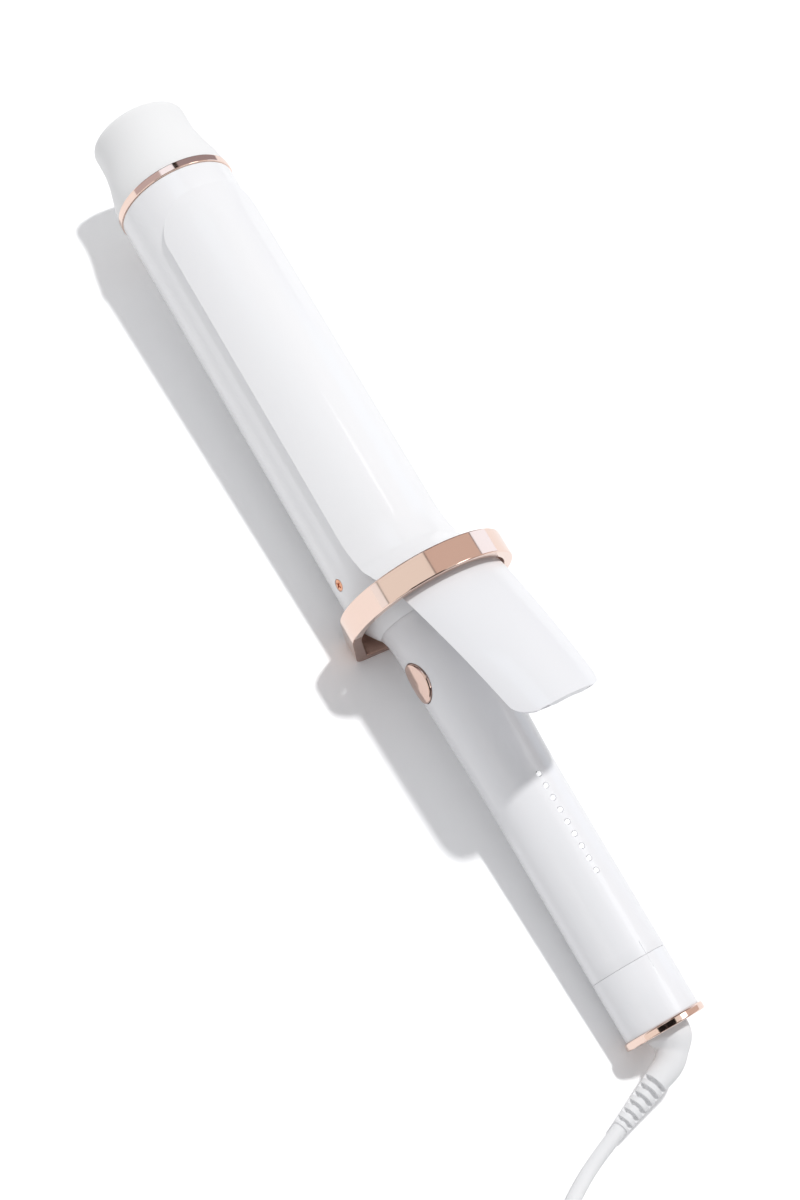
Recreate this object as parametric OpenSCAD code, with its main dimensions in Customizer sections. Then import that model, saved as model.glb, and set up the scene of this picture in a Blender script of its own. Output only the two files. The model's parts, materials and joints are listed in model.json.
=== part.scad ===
// Clamp curling iron with a wide heated barrel, a sprung clamp worked by a
// thumb lever, a loop stand, a push button, a row of indicator lights and a
// swivelling lead. Millimetres.
// Every hard piece is written along the iron's own axis: x = 0 is the outer
// face of the end ring, +x runs to the cool tip, +z is the lever's side and
// +y the button's side. place() then sets the iron down on its stand and its
// end ring, with the barrel's tip raised.

/* [Barrel] */
// Outside diameter of the heated barrel
barrel_d = 37.6; // [34:0.1:42]
// Length of the barrel between the neck and the tip ring
barrel_len = 142.8; // [120:0.2:170]
// Wall of the barrel tube
barrel_wall = 1.2; // [0.8:0.1:2]
// Width of the tip ring along the barrel
tip_ring_w = 2.4; // [1:0.1:4]
// How far the tip ring stands proud of the barrel
tip_ring_proud = 0.4; // [0.1:0.1:1]

/* [Cool tip] */
// Length of the cool tip beyond its ring
tip_len = 24.8; // [20:0.2:45]
// Diameter of the cool tip at its outer end
tip_end_d = 31; // [27:0.5:33]
// Rounding of the cool tip's outer edge
tip_round = 2; // [1:0.25:4]
// Wall of the cool tip
tip_wall = 2; // [1.4:0.1:3]

/* [Handle] */
// Length of the handle shell
handle_len = 114.5; // [105:0.5:150]
// Diameter of the handle at its rear
handle_d = 22.9; // [21:0.1:27]
// How much the handle's radius grows towards its front
handle_grow = 1.05; // [0:0.05:2]
// Flare of the handle's radius where it meets the neck
handle_flare = 1.4; // [0.5:0.1:2]
// Wall of the handle shell
handle_wall = 2; // [1.6:0.1:2.6]
// Length of the neck between handle and barrel
neck_len = 9.5; // [9:0.5:14]
// Length of the end sleeve
sleeve_len = 17.8; // [16:0.2:26]
// Width of the end ring
end_ring_w = 2.2; // [1.6:0.1:4]
// Diameter of the end ring
end_ring_d = 24.6; // [23.5:0.1:30]

/* [Stand] */
// Width of the stand band along the iron
band_w = 8; // [6:0.5:9]
// Thickness of the stand band
band_t = 3; // [2:0.1:3.4]
// Room between the barrel's radius and the inside of the arch
band_room = 4.5; // [4.2:0.1:8]
// Height of the arch's centre above the iron's axis
band_rise = 9.4; // [9:0.1:12]
// Depth of the foot below the barrel's underside
foot_below = 1.8; // [1.2:0.1:6]
// Thickness of the foot bar
foot_t = 3.8; // [3:0.1:5]
// Half width of the foot's flat
foot_half = 12; // [8:0.5:14]

/* [Clamp and lever] */
// Full width of the clamp plate
clamp_w = 34; // [26:0.5:35]
// Thickness of the clamp plate
clamp_t = 0.8; // [0.6:0.1:1.2]
// Gap between the closed clamp and the barrel
clamp_gap = 0.3; // [0.2:0.05:1]
// Distance from the tip ring to the clamp's rounded end
clamp_setback = 8.4; // [4:0.2:30]
// Corner radius of the clamp's end
clamp_corner = 11; // [4:0.5:13]
// Reach of the thumb lever behind the barrel's root
lever_reach = 57; // [40:0.5:70]
// Width of the lever at its end
lever_end_w = 28; // [22:0.5:32]
// Thickness of the thumb lever
lever_t = 1.8; // [1.4:0.1:2.4]
// Corner radius of the lever's end
lever_corner = 5.5; // [3:0.5:10]
// Lift of the plate's crown where it passes over the hinge
lever_lift = 4.65; // [4.2:0.05:5]
// Arch of the plate over the hinge
hinge_arch = 6.5; // [6:0.1:7]
// Arch of the lever across its end
lever_arch = 6.25; // [2:0.25:7]

/* [Hinge] */
// Radius of the hinge pin
pin_r = 1.5; // [1.2:0.1:1.8]
// Height of the hinge pin above the barrel's top
pin_rise = 1.2; // [0.9:0.1:1.5]
// Width between the clamp's two hinge ears
yoke_in = 17.6; // [15:0.2:19]
// Reach of the strap behind the barrel's root
strap_reach = 27; // [26:0.5:32]
// Radial clearance of the clamp's ears on the pin
pin_fit = 0.06; // [0.02:0.01:0.1]
// Mean radius of the return spring
spring_r = 3.2; // [2.4:0.1:3.6]
// Wire radius of the return spring
wire_r = 0.5; // [0.35:0.05:0.6]

/* [Heater] */
// Width of the ceramic element
element_w = 18; // [14:0.5:19]
// Thickness of the ceramic element
element_t = 4.3; // [3.5:0.1:5]
// Distance of the heater from the barrel's root
heater_setback = 24; // [22:0.5:30]
// Unheated length of the barrel at the tip
heater_margin = 20; // [16:0.5:30]

/* [Button and lights] */
// Length of the push button along the handle
button_len = 12.6; // [10:0.2:18]
// Height of the push button across the handle
button_h = 9.8; // [6:0.2:10]
// How far the button stands proud of the handle
button_proud = 0.9; // [0.7:0.1:1.5]
// Travel of the button
button_travel = 0.6; // [0.3:0.1:0.6]
// Number of indicator lights
light_count = 9; // [3:1:12]
// Pitch of the indicator lights
light_pitch = 3.86; // [3:0.02:4.4]
// Diameter of an indicator light
light_d = 1.6; // [1:0.1:2.4]

/* [Lead] */
// Diameter of the lead
cord_d = 4; // [3.4:0.1:4.6]
// Bend of the strain relief from the iron's axis
relief_bend = 70; // [0:5:80]
// Length of the relief's straight ribbed part
relief_len = 20; // [16:0.5:30]
// Root diameter of the strain relief
relief_root_d = 12.6; // [10:0.2:13]
// Number of slots across the ribbed part
slot_count = 6; // [2:1:7]

/* [Hidden] */

$fn = 96;
white = "#f3f3f5";
rose = "#dfb3a0";
steel = "#b9bcc0";
brass = "#c9a24a";
dark = "#33363a";
slip = 0.05;     // clearance of seated pieces
eps = 0.01;

barrel_r = barrel_d / 2;
bore_r = barrel_r - barrel_wall;
handle_r0 = handle_d / 2;
end_r = end_ring_d / 2;
band_r = barrel_r + band_room + band_t;
foot_drop = barrel_r + foot_below;
foot_in = foot_drop - foot_t;
pin_z = barrel_r + pin_rise;
tip_r = tip_end_d / 2;

// stations along the iron
x_ring = end_ring_w;
x_sleeve = x_ring + sleeve_len;
x_handle = x_sleeve + handle_len;
x_neck = x_handle + neck_len;
x_barrel = x_neck + barrel_len;
x_tip0 = x_barrel + tip_ring_w;
x_tip = x_tip0 + tip_len;
x_band = x_neck - 1.2 - band_w / 2;
x_button = x_handle - 17.5;
x_lights = x_handle - 72.6;
x_screw = x_neck + 9;
ring_round = 0.5;

// attitude: stand foot and end ring both touch the surface
tilt = atan((foot_drop - end_r) / (x_band - ring_round));
lift = foot_drop * cos(tilt) - x_band * sin(tilt);
x_mid = ((x_tip - tip_round) * cos(tilt) + (tip_r - tip_round) * sin(tilt) + tip_round
    - (end_r - ring_round) * sin(tilt) + ring_round * cos(tilt) - ring_round) / 2;
module place() translate([-x_mid, 0, lift]) rotate([0, -tilt, 0]) children();

function smooth(u) = let (v = min(1, max(0, u))) v * v * (3 - 2 * v);
swell = handle_len * 0.437;    // start, and length, of the handle's swelling
function swelling(x) = handle_grow * smooth((x - x_sleeve - swell) / swell);
function handle_r(x) = handle_r0 + swelling(x) + handle_flare * exp(-(x_handle - x) / 3.2);
function bore_at(x) = handle_r0 + swelling(x) - handle_wall;
neck_r0 = handle_r(x_handle);
neck_r1 = barrel_r - 0.3;
function neck_r(x) = neck_r0 + (neck_r1 - neck_r0) * sin(90 * (x - x_handle) / neck_len);

// solid of revolution about the iron's axis, from [x, radius] points
module turned(points) rotate([0, 90, 0]) rotate_extrude() polygon([for (p = points) [p[1], p[0]]]);
// cylinder along the iron's axis
module rod(x0, x1, r) translate([x0, 0, 0]) rotate([0, 90, 0]) cylinder(r = r, h = x1 - x0);

// closed skin over a list of rings with the same number of points each
module skin(rings, loop = false) {
    n = len(rings[0]);
    m = len(rings);
    last = loop ? m - 1 : m - 2;
    faces = concat(
        [for (i = [0:last]) for (j = [0:n - 1]) let (k = (j + 1) % n, a = i * n, b = ((i + 1) % m) * n)
            [a + j, a + k, b + k]],
        [for (i = [0:last]) for (j = [0:n - 1]) let (k = (j + 1) % n, a = i * n, b = ((i + 1) % m) * n)
            [a + j, b + k, b + j]],
        loop ? [] : [[for (j = [n - 1:-1:0]) j]],
        loop ? [] : [[for (j = [0:n - 1]) (m - 1) * n + j]]);
    polyhedron([for (r = rings) for (p = r) p], faces, 4);
}

// ---------- clamp surface ----------
plate_r = barrel_r + clamp_gap + clamp_t;
half_w = clamp_w / 2;
edge_z0 = sqrt(plate_r * plate_r - half_w * half_w);
arch0 = plate_r - edge_z0;
x_joint = x_band;
x_lever_end = x_neck - lever_reach;
x_clamp_end = x_barrel - clamp_setback;
function over(x) = smooth((x_neck + 18 - x) / 30);
function ramp(d) = 0.48 * d - 0.0018 * d * d;
edge_lift = lever_lift + arch0 - hinge_arch;
function edge_z(x) = edge_z0 + edge_lift * over(x) + ramp(max(0, x_neck + 6 - x));
function lever_u(x) = max(0, (x_joint - x) / (x_joint - x_lever_end));
function arch(x) = arch0 + (hinge_arch - arch0) * over(x) + (lever_arch - hinge_arch) * lever_u(x);
function full_w(x) = half_w + (lever_end_w / 2 - half_w) * lever_u(x);
function sheet_r(x) = let (w = full_w(x), s = arch(x)) (w * w + s * s) / (2 * s);
function crown(x) = edge_z(x) + arch(x);
// height of the sheet's outer surface, less an offset d along its normal
function sheet_z(x, y, d = 0) = let (r = sheet_r(x)) crown(x) - r + sqrt(pow(r - d, 2) - y * y);
// one cross-section of a curved sheet, from depth d0 to d1, half width w
function sheet_ring(x, w, d0, d1, n = 12) = let (r = sheet_r(x), a = asin(min(1, w / r)), c = crown(x) - r)
    concat([for (i = [0:n]) let (t = -a + 2 * a * i / n) [x, (r - d0) * sin(t), c + (r - d0) * cos(t)]],
        [for (i = [n:-1:0]) let (t = -a + 2 * a * i / n) [x, (r - d1) * sin(t), c + (r - d1) * cos(t)]]);
// half width near a rounded end that lies at distance d
function corner_w(w, c, d) = d >= c ? w : w - c + sqrt(max(0, c * c - pow(c - d, 2)));

module clamp_plate() {
    ends = [for (a = [0:15:90]) clamp_corner * (1 - cos(a))];
    xs = concat([for (d = ends) x_clamp_end - d],
        [for (i = [1:3]) x_clamp_end - clamp_corner - (x_clamp_end - clamp_corner - x_neck - 18) * i / 3],
        [for (i = [1:10]) x_neck + 18 - (x_neck + 18 - x_joint - slip) * i / 10]);
    color(white) place()
        skin([for (x = xs) sheet_ring(x, corner_w(half_w, clamp_corner, x_clamp_end - x), 0, clamp_t)]);
}

module thumb_lever() {
    ends = [for (a = [90:-15:0]) lever_corner * (1 - cos(a))];
    xs = concat([for (i = [0:11]) x_joint - slip - (x_joint - slip - x_lever_end - lever_corner) * i / 12],
        [for (d = ends) x_lever_end + d]);
    color(white) place() difference() {
        skin([for (x = xs) sheet_ring(x, corner_w(full_w(x), lever_corner, x - x_lever_end), 0, lever_t)]);
        for (x = lever_screw_x) translate([x, 0, pin_z]) cylinder(r = 1.02, h = sheet_z(x, 0, lever_t - 1) - pin_z, $fn = 24);
    }
}

// ---------- hinge ----------
x_pin = x_neck - 5;
yoke_t = 1.4;
ear_y = yoke_in / 2;
strap_t = 1.1;
x_strap0 = x_neck + 5;
x_strap1 = x_neck - strap_reach;
x_spring = x_neck - strap_reach * 2 / 3;
function strap_d(x) = slip + clamp_t + (lever_t - clamp_t) * smooth((x_joint + 2.5 - x) / 2.2);

// strap under the plate and lever that joins the two
strap_w = ear_y + yoke_t;
// stations of the strap where its ears meet it
function strap_x(i) = x_strap0 - (x_strap0 - x_joint - 2.5) * i / 4;
module lever_strap() {
    xs = concat([for (i = [0:4]) strap_x(i)],
        [for (i = [1:3]) x_joint + 2.5 - 2.2 * i / 3],
        [for (i = [1:5]) x_joint + 0.3 - (x_joint + 0.3 - x_strap1) * i / 5]);
    color(steel) place() difference() {
        skin([for (x = xs) sheet_ring(x, strap_w * (x < x_pin - 4 ? 0.75 : 1), strap_d(x), strap_d(x) + strap_t, 8)]);
        for (x = lever_screw_x) translate([x, 0, pin_z]) cylinder(r = 1.05, h = barrel_d, $fn = 24);
    }
}

// two ears under the strap that turn on the pin
module hinge_ears() {
    color(steel) place() for (s = [-1, 1]) translate([0, s * (ear_y + yoke_t / 2) + yoke_t / 2, 0]) rotate([90, 0, 0])
        difference() {
            union() {
                linear_extrude(yoke_t) polygon(concat(
                    [for (i = [4:-1:0]) let (x = strap_x(i)) [x, sheet_z(x, strap_w, strap_d(x) + strap_t) - slip]],
                    [[x_pin + pin_r + 1.6, pin_z - 1], [x_pin, pin_z - pin_r - 1.6], [x_pin - pin_r - 1.2, pin_z + 0.6]]));
                translate([x_pin, pin_z, 0]) cylinder(r = pin_r + 1.6, h = yoke_t);
            }
            translate([x_pin, pin_z, -1]) cylinder(r = pin_r + pin_fit, h = yoke_t + 2);
        }
}

lever_screw_x = [x_joint - 5.3, x_strap1 + 2];
// screws that hold the lever on the strap, driven from below
module lever_screws() {
    head_r = 1.9;
    head_h = 0.8;
    color(steel) place() for (x = lever_screw_x) {
        z0 = sheet_z(x + head_r, head_r, strap_d(x) + strap_t) - head_h - 0.1;
        translate([x, 0, z0]) cylinder(r = head_r, h = head_h);
        translate([x, 0, z0 + head_h - 0.1]) cylinder(r = 1, h = sheet_z(x, 0, lever_t - 0.9) - z0 - head_h + 0.1);
    }
}

seat_z = pin_z - 6.8;     // flat on the neck under the hinge bracket
ear_in = ear_y - 2;
bracket_l = 8.2;
module hinge_bracket() {
    x0 = x_neck - bracket_l - 0.4;
    color(steel) place() difference() {
        union() {
            translate([x0, -ear_y + 0.4, seat_z + slip]) cube([bracket_l, 2 * ear_y - 0.8, 1.4]);
            for (s = [-1, 1]) translate([0, s > 0 ? ear_y - 0.4 : -ear_in, 0]) rotate([90, 0, 0]) {
                translate([x0, seat_z + slip, 0]) cube([bracket_l, pin_z - seat_z - 2, ear_y - 0.4 - ear_in]);
                linear_extrude(ear_y - 0.4 - ear_in) polygon([[x0, pin_z - 2.2], [x0 + bracket_l, pin_z - 2.2],
                    [x_pin + pin_r + 1, pin_z + 0.8], [x_pin - pin_r - 1, pin_z + 0.8]]);
                translate([x_pin, pin_z, 0]) cylinder(r = pin_r + 1.2, h = ear_y - 0.4 - ear_in);
            }
        }
        translate([x_pin, 2 * ear_y, pin_z]) rotate([90, 0, 0]) cylinder(r = pin_r + 0.02, h = 4 * ear_y);
    }
}

module hinge_pin() {
    half = ear_y + yoke_t + 0.25;
    color(steel) place() {
        translate([x_pin, half, pin_z]) rotate([90, 0, 0]) cylinder(r = pin_r, h = 2 * half);
        for (s = [-1, 1]) translate([x_pin, s * half + (s > 0 ? 0.7 : 0), pin_z]) rotate([90, 0, 0])
            cylinder(r = pin_r + 0.7, h = 0.7);
    }
}

// coil spring that stands on the handle and lifts the lever
spring_z0 = handle_r(x_spring) + 0.1;
spring_z1 = sheet_z(x_spring, 0, strap_d(x_spring) + strap_t) - wire_r - 1.6;
module return_spring() {
    turns = 6;
    steps = 12;
    color(steel) place() translate([x_spring, 0, 0])
        skin([for (i = [0:turns * steps]) let (a = 360 * i / steps,
            z = spring_z0 + wire_r + (spring_z1 - spring_z0 - wire_r) * i / (turns * steps))
            [for (j = [5:-1:0]) let (b = 60 * j) [(spring_r + wire_r * cos(b)) * cos(a), (spring_r + wire_r * cos(b)) * sin(a),
                z + wire_r * sin(b)]]]);
}

// ---------- barrel end ----------
module barrel() color(white) place() difference() {
    rod(x_neck, x_barrel, barrel_r);
    rod(x_neck - 1, x_barrel + 1, bore_r);
    for (s = [-1, 1]) translate([x_screw, 0, 0]) rotate([-90 * s, 0, 0]) {
        cylinder(r = 1.1, h = barrel_r + 2);
        translate([0, 0, barrel_r - 0.9]) cylinder(r = 1.95, h = 4);
    }
}

module side_screws() color("#d98a5b") place() for (s = [-1, 1]) translate([x_screw, 0, 0]) rotate([-90 * s, 0, 0])
    difference() {
        union() {
            translate([0, 0, bore_r - 3.8]) cylinder(r = 0.95, h = barrel_r - bore_r + 3.5);
            translate([0, 0, barrel_r - 0.85]) cylinder(r = 1.75, h = 0.75);
        }
        for (a = [0, 90]) rotate([0, 0, a]) translate([-1.1, -0.22, barrel_r - 0.6]) cube([2.2, 0.44, 2]);
    }

module tip_ring() color(rose) place() difference() {
    r = barrel_r + tip_ring_proud;
    turned([[x_barrel, bore_r - 1.5], [x_barrel, r - 0.3], [x_barrel + 0.3, r], [x_tip0 - 0.3, r], [x_tip0, r - 0.3],
        [x_tip0, bore_r - 1.5]]);
    rod(x_barrel - 1, x_tip0 + 1, bore_r - 1);
}

// the tip flares up to its ring; its spigot passes through the ring into the barrel
module cool_tip() {
    r0 = barrel_r - 0.1;
    spigot_r = bore_r - 1 - slip;
    color(white) place() turned(concat(
        [[x_barrel - 8, spigot_r - 1.6], [x_barrel - 8, spigot_r - 0.3], [x_barrel - 7.7, spigot_r], [x_tip0, spigot_r]],
        [for (i = [0:16]) let (u = i / 16, x = x_tip0 + (tip_len - tip_round) * u)
            [x, tip_r + (r0 - tip_r) * pow(1 - smooth(min(1, u * 1.15)), 1.35)]],
        [for (a = [15:15:90]) [x_tip - tip_round + tip_round * sin(a), tip_r - tip_round + tip_round * cos(a)]],
        [[x_tip, 0], [x_tip - tip_wall, 0], [x_tip - tip_wall, tip_r - tip_wall - 0.8],
            [x_tip - tip_wall - 0.8, tip_r - tip_wall], [x_tip0 + 8, tip_r - tip_wall],
            [x_tip0 + 2, spigot_r - 1.6]]));
}

// ---------- neck ----------
neck_in = 9.2;
neck_tail = 9;       // reach of the neck into the handle
neck_spigot = 15;    // and into the barrel
spigot_wall = 2.6;
x_spigot = x_neck + neck_spigot;
module neck() {
    spigot = bore_r - slip;
    tail_r = handle_r0 + handle_grow - handle_wall - slip;
    lead_in = 0.4;
    color(white) place() difference() {
        turned(concat([[x_handle - neck_tail, neck_in], [x_handle - neck_tail, tail_r - lead_in],
                [x_handle - neck_tail + lead_in, tail_r], [x_handle, tail_r]],
            [for (i = [0:8]) let (x = x_handle + neck_len * i / 8) [x, neck_r(x)]],
            [[x_neck, spigot], [x_spigot - lead_in, spigot], [x_spigot, spigot - lead_in], [x_spigot, spigot - spigot_wall],
                [x_neck + 3, spigot - spigot_wall], [x_neck - 4, neck_in]]));
        // seats of the hinge bracket and of the stand's foot
        translate([x_neck - bracket_l - 0.6, -ear_y, seat_z]) cube([bracket_l + 0.6 + eps, 2 * ear_y, barrel_d]);
        translate([x_band - band_w / 2 - slip, -barrel_r, -foot_in - barrel_d + slip]) cube([band_w + 2 * slip, barrel_d, barrel_d]);
        for (s = [-1, 1]) translate([x_screw, 0, 0]) rotate([-90 * s, 0, 0]) cylinder(r = 1, h = barrel_r);
        translate([x_band, 0, -foot_drop - 5]) cylinder(r = 1.05, h = foot_drop + 5 - neck_in + 0.8);
    }
}

// ---------- handle ----------
function oval(a, b, n = 48) = [for (i = [0:n - 1]) [a * cos(360 * i / n), b * sin(360 * i / n)]];
module handle_shell() {
    n = 40;
    xs = concat([for (i = [0:24]) x_sleeve + (handle_len - 14) * i / 24], [for (i = [1:n - 28]) x_handle - 14 + 14 * i / (n - 28)]);
    inner = [for (x = xs) [x, bore_at(x)]];
    color(white) place() difference() {
        union() {
            difference() {
                turned(concat([for (x = xs) [x, handle_r(x)]], [for (i = [len(inner) - 1:-1:0]) inner[i]]));
                translate([x_button, 0, 0]) rotate([-90, 0, 0]) linear_extrude(handle_d) polygon(oval(button_len / 2 + 0.2, button_h / 2 + 0.2));
                for (i = [0:light_count - 1]) translate([x_lights - (i - 4) * light_pitch - 0.28, 0, 4]) cylinder(r = light_d / 2 + 0.02, h = 20, $fn = 24);
                translate([x_sleeve - 1, -0.55, handle_r0 - 0.5]) cube([5, 1.1, 3]);
            }
            // seat of the return spring
            translate([x_spring, 0, spring_z0 - 2]) difference() {
                cylinder(r = spring_r + wire_r + 1.3, h = 3);
                translate([0, 0, 1.8]) cylinder(r = spring_r + wire_r + 0.3, h = 3);
            }
        }
    }
}

module end_sleeve() color(white) place() difference() {
    turned([[x_ring, handle_r0 - 0.15], [x_sleeve - eps, handle_r0 - 0.02], [x_sleeve - eps, handle_r0 - handle_wall], [x_ring, handle_r0 - handle_wall]]);
    translate([x_sleeve - 4, -0.55, handle_r0 - 0.5]) cube([5, 1.1, 3]);
}

root_r = relief_root_d / 2;
module end_ring() color(rose) place() turned(concat(
    [[0, root_r + 0.3]],
    [for (a = [0:22.5:90]) [ring_round - ring_round * cos(a), end_r - ring_round + ring_round * sin(a)]],
    [for (a = [0:22.5:90]) [x_ring - ring_round + ring_round * sin(a), end_r - ring_round + ring_round * cos(a)]],
    [[x_ring, handle_r0 - handle_wall - slip], [x_ring + 2, handle_r0 - handle_wall - slip], [x_ring + 2, root_r + 0.3]]));

// ---------- stand ----------
// tangent angle between the arch and a lower corner of centre c, radius q
function tan_angle(r, c, q) = let (d = [c[0], c[1] - band_rise]) atan2(d[1], d[0]) + acos((r - q) / norm(d));
// closed outline of the loop: arch radius r, corner radius q at [cx, cz]
function loop_outline(r, cx, cz, q) = let (t = tan_angle(r, [cx, cz], q)) concat(
    [for (i = [0:40]) let (a = t + (180 - 2 * t) * i / 40) [r * cos(a), band_rise + r * sin(a)]],
    [for (i = [0:6]) let (a = 180 - t + (90 + t) * i / 6) [-cx + q * cos(a), cz + q * sin(a)]],
    [[0, cz - q]],
    [for (i = [0:6]) let (a = 270 + (90 + t) * i / 6) [cx + q * cos(a), cz + q * sin(a)]]);
band_out = loop_outline(band_r, foot_half, -foot_drop - 0.4 + 5, 5);
band_in = loop_outline(band_r - band_t, foot_half, -foot_in + 2, 2);
module stand_band() {
    w = band_w / 2;
    // [place along the iron, share of the way from the outer to the inner outline]
    sec = [[-w, 0.3], [-w + 0.3, 0.1], [-w + 1, 0], [w - 1, 0], [w - 0.3, 0.1], [w, 0.3],
        [w, 0.8], [w - 0.5, 1], [-w + 0.5, 1], [-w, 0.8]];
    color(rose) difference() {
        place() translate([x_band, 0, 0]) difference() {
            skin([for (i = [0:len(band_out) - 1]) [for (s = sec) let (p = band_out[i] + (band_in[i] - band_out[i]) * s[1])
                [s[0], p[0], p[1]]]], loop = true);
            translate([0, 0, -2 * foot_drop]) cylinder(r = 1.3, h = 1.5 * foot_drop, $fn = 32);
            translate([0, 0, -foot_drop - 5]) cylinder(r = 2.5, h = 5 + 1.5, $fn = 32);
        }
        translate([-500, -500, -50]) cube([1000, 1000, 50]);
    }
}

module stand_screw() color(steel) place() translate([x_band, 0, 0]) difference() {
    union() {
        translate([0, 0, -foot_drop + 0.5]) cylinder(r = 2.2, h = 0.95);
        translate([0, 0, -foot_drop + 1]) cylinder(r = 1, h = foot_drop - neck_in - 2.4);
    }
    for (a = [0, 90]) rotate([0, 0, a]) translate([-1.3, -0.25, -foot_drop]) cube([2.6, 0.5, 0.9]);
}

// ---------- heater ----------
shoe_r = bore_r - slip;
x_heat0 = x_neck + heater_setback;
heat_len = barrel_len - heater_setback - heater_margin;
rib_t = 2;
shoe_in = element_t / 2 + slip;    // face of a shoe on the element
module heater_shoes() color("#c4c7ca") place() for (s = [0, 180]) rotate([s, 0, 0]) translate([x_heat0, 0, 0])
    rotate([90, 0, 90]) linear_extrude(heat_len) {
        intersection() {
            difference() {
                circle(r = shoe_r);
                circle(r = shoe_r - 2);
            }
            translate([-0.8 * shoe_r, 0.34 * shoe_r]) square([1.6 * shoe_r, shoe_r]);
        }
        translate([-element_w / 2 - rib_t, shoe_in]) square([element_w + 2 * rib_t, rib_t]);
        for (s = [-1, 1]) translate([s * (element_w / 2 - rib_t / 2) - rib_t / 2, shoe_in + rib_t / 2])
            square([rib_t, sqrt(pow(shoe_r, 2) - pow(element_w / 2, 2)) - shoe_in - 1.5 * rib_t / 2]);
    }

module ceramic_element() color("#e9e4d8") place() translate([x_heat0 + 4, -element_w / 2, -element_t / 2])
    cube([heat_len - 8, element_w, element_t]);

// the fuse lies on one shoe's web, and the temperature bead on the other's
web_top = shoe_in + rib_t;
fuse_r = 1.4;
bead_r = 1.1;
module thermal_fuse() color(steel) place() translate([x_heat0 + 12, 0, web_top + fuse_r]) rotate([0, 90, 0]) cylinder(r = fuse_r, h = 11, $fn = 32);
module temperature_sensor() color("#b5642d") place() translate([x_heat0 + 40, 0, -web_top - bead_r]) rotate([0, 90, 0])
    cylinder(r = bead_r, h = 4.5, $fn = 32);

module heat_shield() color("#d8cdb4") place() difference() {
    rod(x_spigot + 0.3, x_spigot + 2.3, bore_r - slip);
    for (y = wire_y) translate([x_neck + 10, y, 0]) rotate([0, 90, 0]) cylinder(r = lead_wire_r + 0.1, h = 12, $fn = 32);
}

board_z = 5;
x_board0 = x_sleeve + 12;
x_board1 = x_handle - 12;
x_solder = x_board1 - 1.5;
wire_y = [-0.35 * handle_r0, 0.35 * handle_r0];
lead_wire_r = 1.05;
module heater_leads() color("#e8e2d2") place() for (y = wire_y) {
    translate([x_solder, y, 0]) rotate([0, 90, 0]) cylinder(r = lead_wire_r, h = x_heat0 + 4 - x_solder, $fn = 24);
    translate([x_solder, y, -1]) cylinder(r = 0.9, h = board_z + 1, $fn = 24);
}

// ---------- button, board, lights ----------
board_t = 1.4;
board_half = sqrt(pow(handle_r0 - handle_wall - slip, 2) - pow(board_z + board_t, 2));
button_r = handle_r(x_button) + button_proud;
rim = 0.9;         // flange that keeps the button in the handle
rim_t = 0.75;
rim_y = sqrt(pow(bore_at(x_button), 2) - pow(button_h / 2 + rim, 2)) - rim_t - 0.1;
module power_button() color(rose) place() {
    intersection() {
        translate([x_button, rim_y, 0]) rotate([-90, 0, 0])
            linear_extrude(handle_d) polygon(oval(button_len / 2, button_h / 2));
        rod(x_button - button_len, x_button + button_len, button_r);
    }
    translate([x_button, rim_y, 0]) rotate([-90, 0, 0]) linear_extrude(rim_t) polygon(oval(button_len / 2 + rim, button_h / 2 + rim));
    translate([x_button, 6.5, 0]) rotate([-90, 0, 0]) cylinder(r = 1.4, h = rim_y - 6.5 + eps, $fn = 32);
}

module button_switch() color(dark) place() {
    translate([x_button - 2.9, 0.8, -3]) cube([5.8, 3.6, 6]);
    translate([x_button, 4.3, 0]) rotate([-90, 0, 0]) cylinder(r = 1.2, h = 6.5 - 4.3 - button_travel - 0.1, $fn = 32);
    translate([x_button - 2, 1.2, 2.9]) cube([4, 2.4, board_z - 2.9 - slip]);
}

module circuit_board() color("#2f6b45") place() difference() {
    translate([x_board0, -board_half, board_z]) cube([x_board1 - x_board0, 2 * board_half, board_t]);
    for (y = wire_y) translate([x_solder, y, 0]) cylinder(r = 1, h = 10, $fn = 24);
}

// triac, capacitor and controller on the board's underside
triac = [9, 6.8, 2.2];
controller = [6.4, 5.2, 1.3];
capacitor_r = 2.6;
capacitor_h = 6.5;
part_gap = 6;
x_triac = x_board0 + 2 * part_gap;
x_capacitor = x_triac + triac[0] + part_gap + capacitor_r;
x_controller = x_capacitor + capacitor_r + part_gap;
board_under = board_z - slip;
module chip(x, size) translate([x, -size[1] / 2, board_under - size[2]]) cube(size);
module board_parts() color(dark) place() {
    chip(x_triac, triac);
    translate([x_capacitor, 0, board_under - capacitor_h]) cylinder(r = capacitor_r, h = capacitor_h, $fn = 32);
    chip(x_controller, controller);
}

module indicator_lights() color("#ffffff") place() for (i = [0:light_count - 1]) {
    x = x_lights - (i - 4) * light_pitch - 0.28;
    translate([x, 0, board_z + board_t]) cylinder(r = light_d / 2, h = handle_r(x) - board_z - board_t - 0.05, $fn = 24);
}

// ---------- swivel ----------
core_r = 5;
x_core1 = x_ring + sleeve_len - 3;
ring_x = [x_ring + 5, x_ring + 9.5];
module swivel_socket() color("#e4e4e6") place() difference() {
    rod(x_ring + 2.1, x_core1 - 1.6, handle_r0 - handle_wall - slip - 0.15);
    rod(0, x_core1, core_r + 0.08);
    for (x = ring_x) translate([x - 0.2, -1.6, 0]) cube([2.4, 3.2, 20]);
}

module brush_contacts() color(brass) place() for (x = ring_x) {
    translate([x + 0.3, -1.2, core_r + 0.1]) cube([1.4, 2.4, handle_r0 - handle_wall - core_r - 0.75]);
}

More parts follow.
